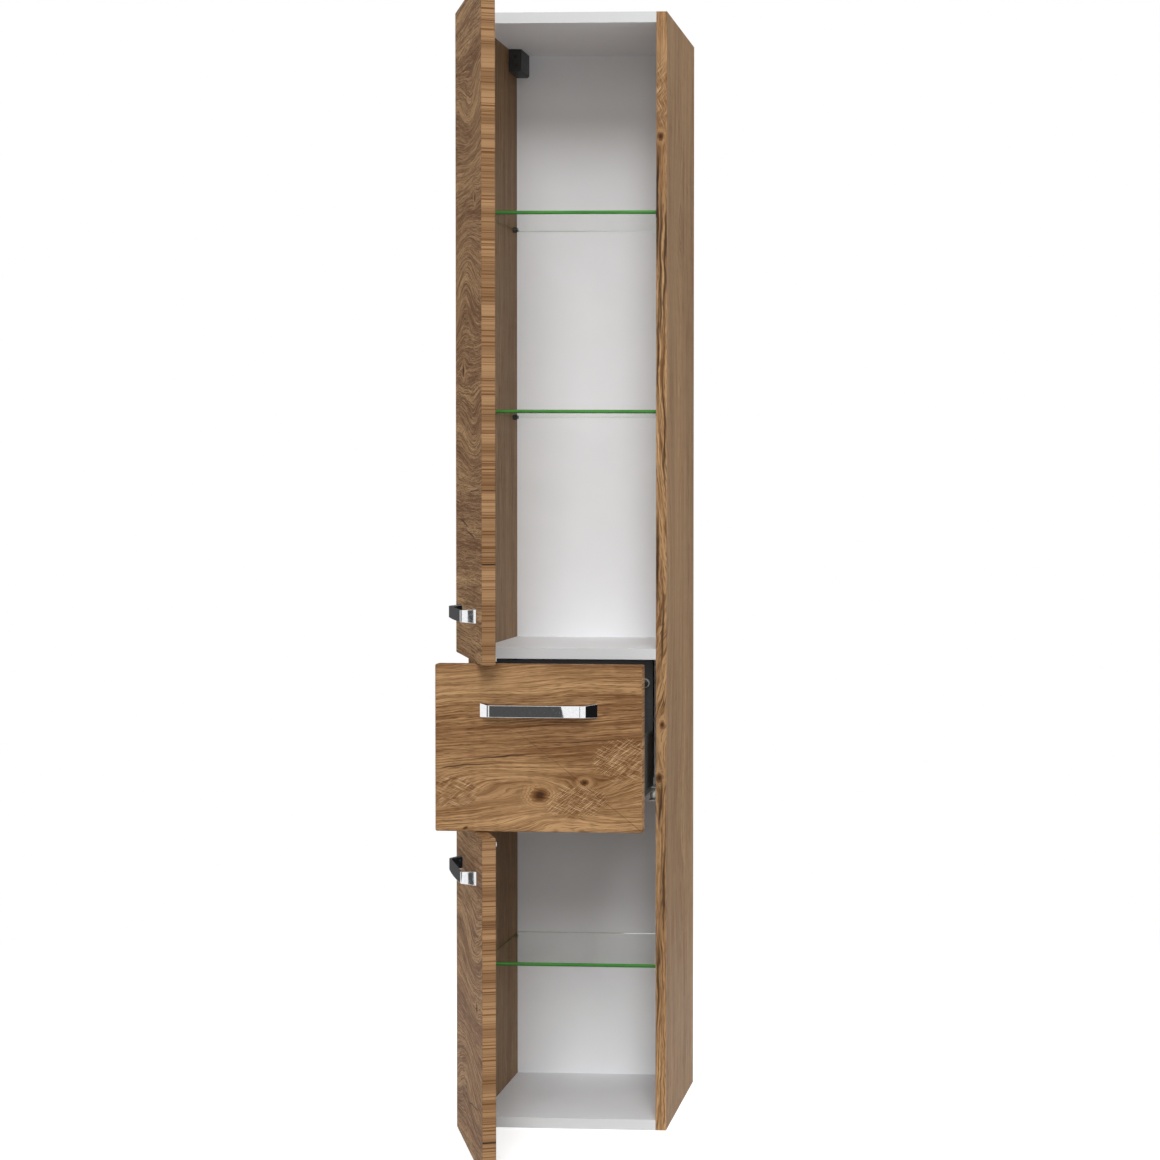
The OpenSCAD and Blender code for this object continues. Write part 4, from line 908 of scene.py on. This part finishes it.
# Dark cards: name, place, turn in degrees, size and how bright they show
CARDS = (
    ("card_behind_camera", (-1.66, -5.5, -0.288), (90, 61.9, 0), (2.4, 2.4), 0.08),
    ("card_thin", (-0.33, -5.5, 1.4), (90, 0, 0), (0.03, 2.8), 0.03),
    ("card_right", (2.5, 0.1, 0.7), (0, 90, 0), (2.6, 2.4), 0.01),
    ("card_back", (-0.6, 1.8, 1.2), (90, 0, 0), (3.2, 2.4), 0.08),
    ("card_left", (-3.0, -0.9, 0.9), (0, 90, 0), (2.4, 2.6), 0.2),
    ("card_low_left", (-1.25, -1.75, 0.02), (0, 0, 45), (1.6, 0.5), 0.1),
    ("card_low_front", (-0.55, -3.0, 0.02), (0, 0, 0), (1.0, 1.3), 0.1),
    ("card_strip", (-0.5408, -0.8486, 0.95), (90, 0, -45.6), (0.012, 2.0), 0.08),
)

# The camera: its place, its turn in degrees, its lens in millimetres and its shift in picture widths
CAMERA_PLACE = (0.7741, -4.4222, 1.1054)
CAMERA_YAW = 3.48
CAMERA_PITCH = -1.79
CAMERA_ROLL = 0.20
CAMERA_LENS = 78.25
CAMERA_SENSOR = 36
CAMERA_SHIFT = (-0.25, -0.015)


def shown_white(tree):
    """1 for rays from the camera, a mirror or glass, which see the studio pure white, and 0 for others."""
    path = tree.nodes.new("ShaderNodeLightPath")
    first = tree.nodes.new("ShaderNodeMath")
    first.operation = "MAXIMUM"
    second = tree.nodes.new("ShaderNodeMath")
    second.operation = "MAXIMUM"
    tree.links.new(path.outputs["Is Camera Ray"], first.inputs[0])
    tree.links.new(path.outputs["Is Glossy Ray"], first.inputs[1])
    tree.links.new(first.outputs[0], second.inputs[0])
    tree.links.new(path.outputs["Is Transmission Ray"], second.inputs[1])
    return second.outputs[0]


def set_world():
    """Even white light all round, which shows as pure white behind the tower."""
    world = bpy.data.worlds.new("studio")
    bpy.context.scene.world = world
    world.use_nodes = True
    tree = world.node_tree
    tree.nodes.clear()
    sky = tree.nodes.new("ShaderNodeBackground")
    sky.inputs["Color"].default_value = (1, 1, 1, 1)
    out = tree.nodes.new("ShaderNodeOutputWorld")
    level = tree.nodes.new("ShaderNodeMapRange")
    level.inputs["To Min"].default_value = LIT_LEVEL
    level.inputs["To Max"].default_value = SHOWN_LEVEL
    tree.links.new(shown_white(tree), level.inputs["Value"])
    tree.links.new(level.outputs["Result"], sky.inputs["Strength"])
    tree.links.new(sky.outputs[0], out.inputs["Surface"])


def lay_floor():
    """A pale floor that keeps the tower's shadow and runs out into the white studio."""
    bpy.ops.object.select_all(action="DESELECT")
    bpy.ops.mesh.primitive_plane_add(size=FLOOR_SIZE, location=(0, 0, -FLOOR_DEPTH))
    floor = bpy.context.object
    floor.name = "studio_floor"
    f = Finish("pale_floor")
    tree = f.material.node_tree
    x, y, z = f.split(f.place)
    away = f.math("SQRT", f.squares(x, y))
    shown = shown_white(tree)
    grain = f.cloudy(f.place, scale=30.0, detail=3.0)
    body = tree.nodes.new("ShaderNodeBsdfDiffuse")
    f.feed(body.inputs["Color"], f.blend(grain, paint(212, 212, 212), paint(218, 218, 218)))
    lift = tree.nodes.new("ShaderNodeEmission")
    f.feed(lift.inputs["Strength"], f.math("MULTIPLY", shown, FLOOR_LIFT))
    both = tree.nodes.new("ShaderNodeAddShader")
    f.links.new(body.outputs[0], both.inputs[0])
    f.links.new(lift.outputs[0], both.inputs[1])
    white = tree.nodes.new("ShaderNodeEmission")
    runs_out = tree.nodes.new("ShaderNodeMixShader")
    f.feed(runs_out.inputs[0], f.math("MULTIPLY", shown, f.ease(away, FLOOR_FADES, FLOOR_WHITE)))
    f.links.new(both.outputs[0], runs_out.inputs[1])
    f.links.new(white.outputs[0], runs_out.inputs[2])
    f.links.new(runs_out.outputs[0], f.output.inputs["Surface"])
    floor.data.materials.append(f.material)


def soft_lamp(name, place, aim, size, power, spread):
    """A soft box that shines into its spread and that no mirror sees."""
    lamp = bpy.data.lights.new(name, "AREA")
    lamp.shape = "RECTANGLE"
    lamp.spread = math.radians(spread)
    lamp.size, lamp.size_y = size
    lamp.energy = power
    holder = bpy.data.objects.new(name, lamp)
    bpy.context.scene.collection.objects.link(holder)
    holder.location = place
    holder.visible_glossy = False
    holder.rotation_euler = (Vector(aim) - Vector(place)).to_track_quat("-Z", "Y").to_euler()


def sun_lamp(name, high, right, wide, strength):
    """A broad even light, as from a far and large window."""
    lamp = bpy.data.lights.new(name, "SUN")
    lamp.angle = math.radians(wide)
    lamp.energy = strength
    holder = bpy.data.objects.new(name, lamp)
    bpy.context.scene.collection.objects.link(holder)
    holder.visible_glossy = False
    holder.rotation_euler = (math.radians(90 - high), 0, math.radians(right))


def dark_card(name, place, turn, size, level):
    """A dark studio card that only mirrors see, which gives the chrome its dark bands."""
    bpy.ops.object.select_all(action="DESELECT")
    bpy.ops.mesh.primitive_plane_add(size=1, location=place, rotation=[math.radians(a) for a in turn])
    card = bpy.context.object
    card.name = name
    card.scale = (size[0], size[1], 1)
    f = Finish(name)
    glow = f.nodes.new("ShaderNodeEmission")
    glow.inputs["Color"].default_value = (1, 1, 1, 1)
    glow.inputs["Strength"].default_value = level
    f.links.new(glow.outputs[0], f.output.inputs["Surface"])
    card.data.materials.append(f.material)
    card.visible_camera = card.visible_diffuse = card.visible_shadow = card.visible_transmission = False


def set_camera():
    """The photograph's camera: off to the right, with most of its offset taken up by the lens's shift."""
    yaw, pitch, roll = (math.radians(a) for a in (CAMERA_YAW, CAMERA_PITCH, CAMERA_ROLL))
    forward = Vector((-math.sin(yaw) * math.cos(pitch), math.cos(yaw) * math.cos(pitch), math.sin(pitch)))
    right = Vector((math.cos(yaw), math.sin(yaw), 0))
    up = right.cross(forward)
    across = right * math.cos(roll) + up * math.sin(roll)
    upright = up * math.cos(roll) - right * math.sin(roll)
    camera = bpy.data.objects.new("camera", bpy.data.cameras.new("camera"))
    bpy.context.scene.collection.objects.link(camera)
    turn = Matrix((across, upright, -forward)).transposed().to_4x4()
    camera.matrix_world = Matrix.Translation(CAMERA_PLACE) @ turn
    camera.data.sensor_width = CAMERA_SENSOR
    camera.data.lens = CAMERA_LENS
    camera.data.shift_x, camera.data.shift_y = CAMERA_SHIFT
    bpy.context.scene.camera = camera


set_world()
lay_floor()
for sun in SUNS:
    sun_lamp(*sun)
for box in BOXES:
    soft_lamp(*box)
for card in CARDS:
    dark_card(*card)
set_camera()
bpy.context.scene.view_settings.view_transform = "Standard"

bpy.context.view_layer.update()
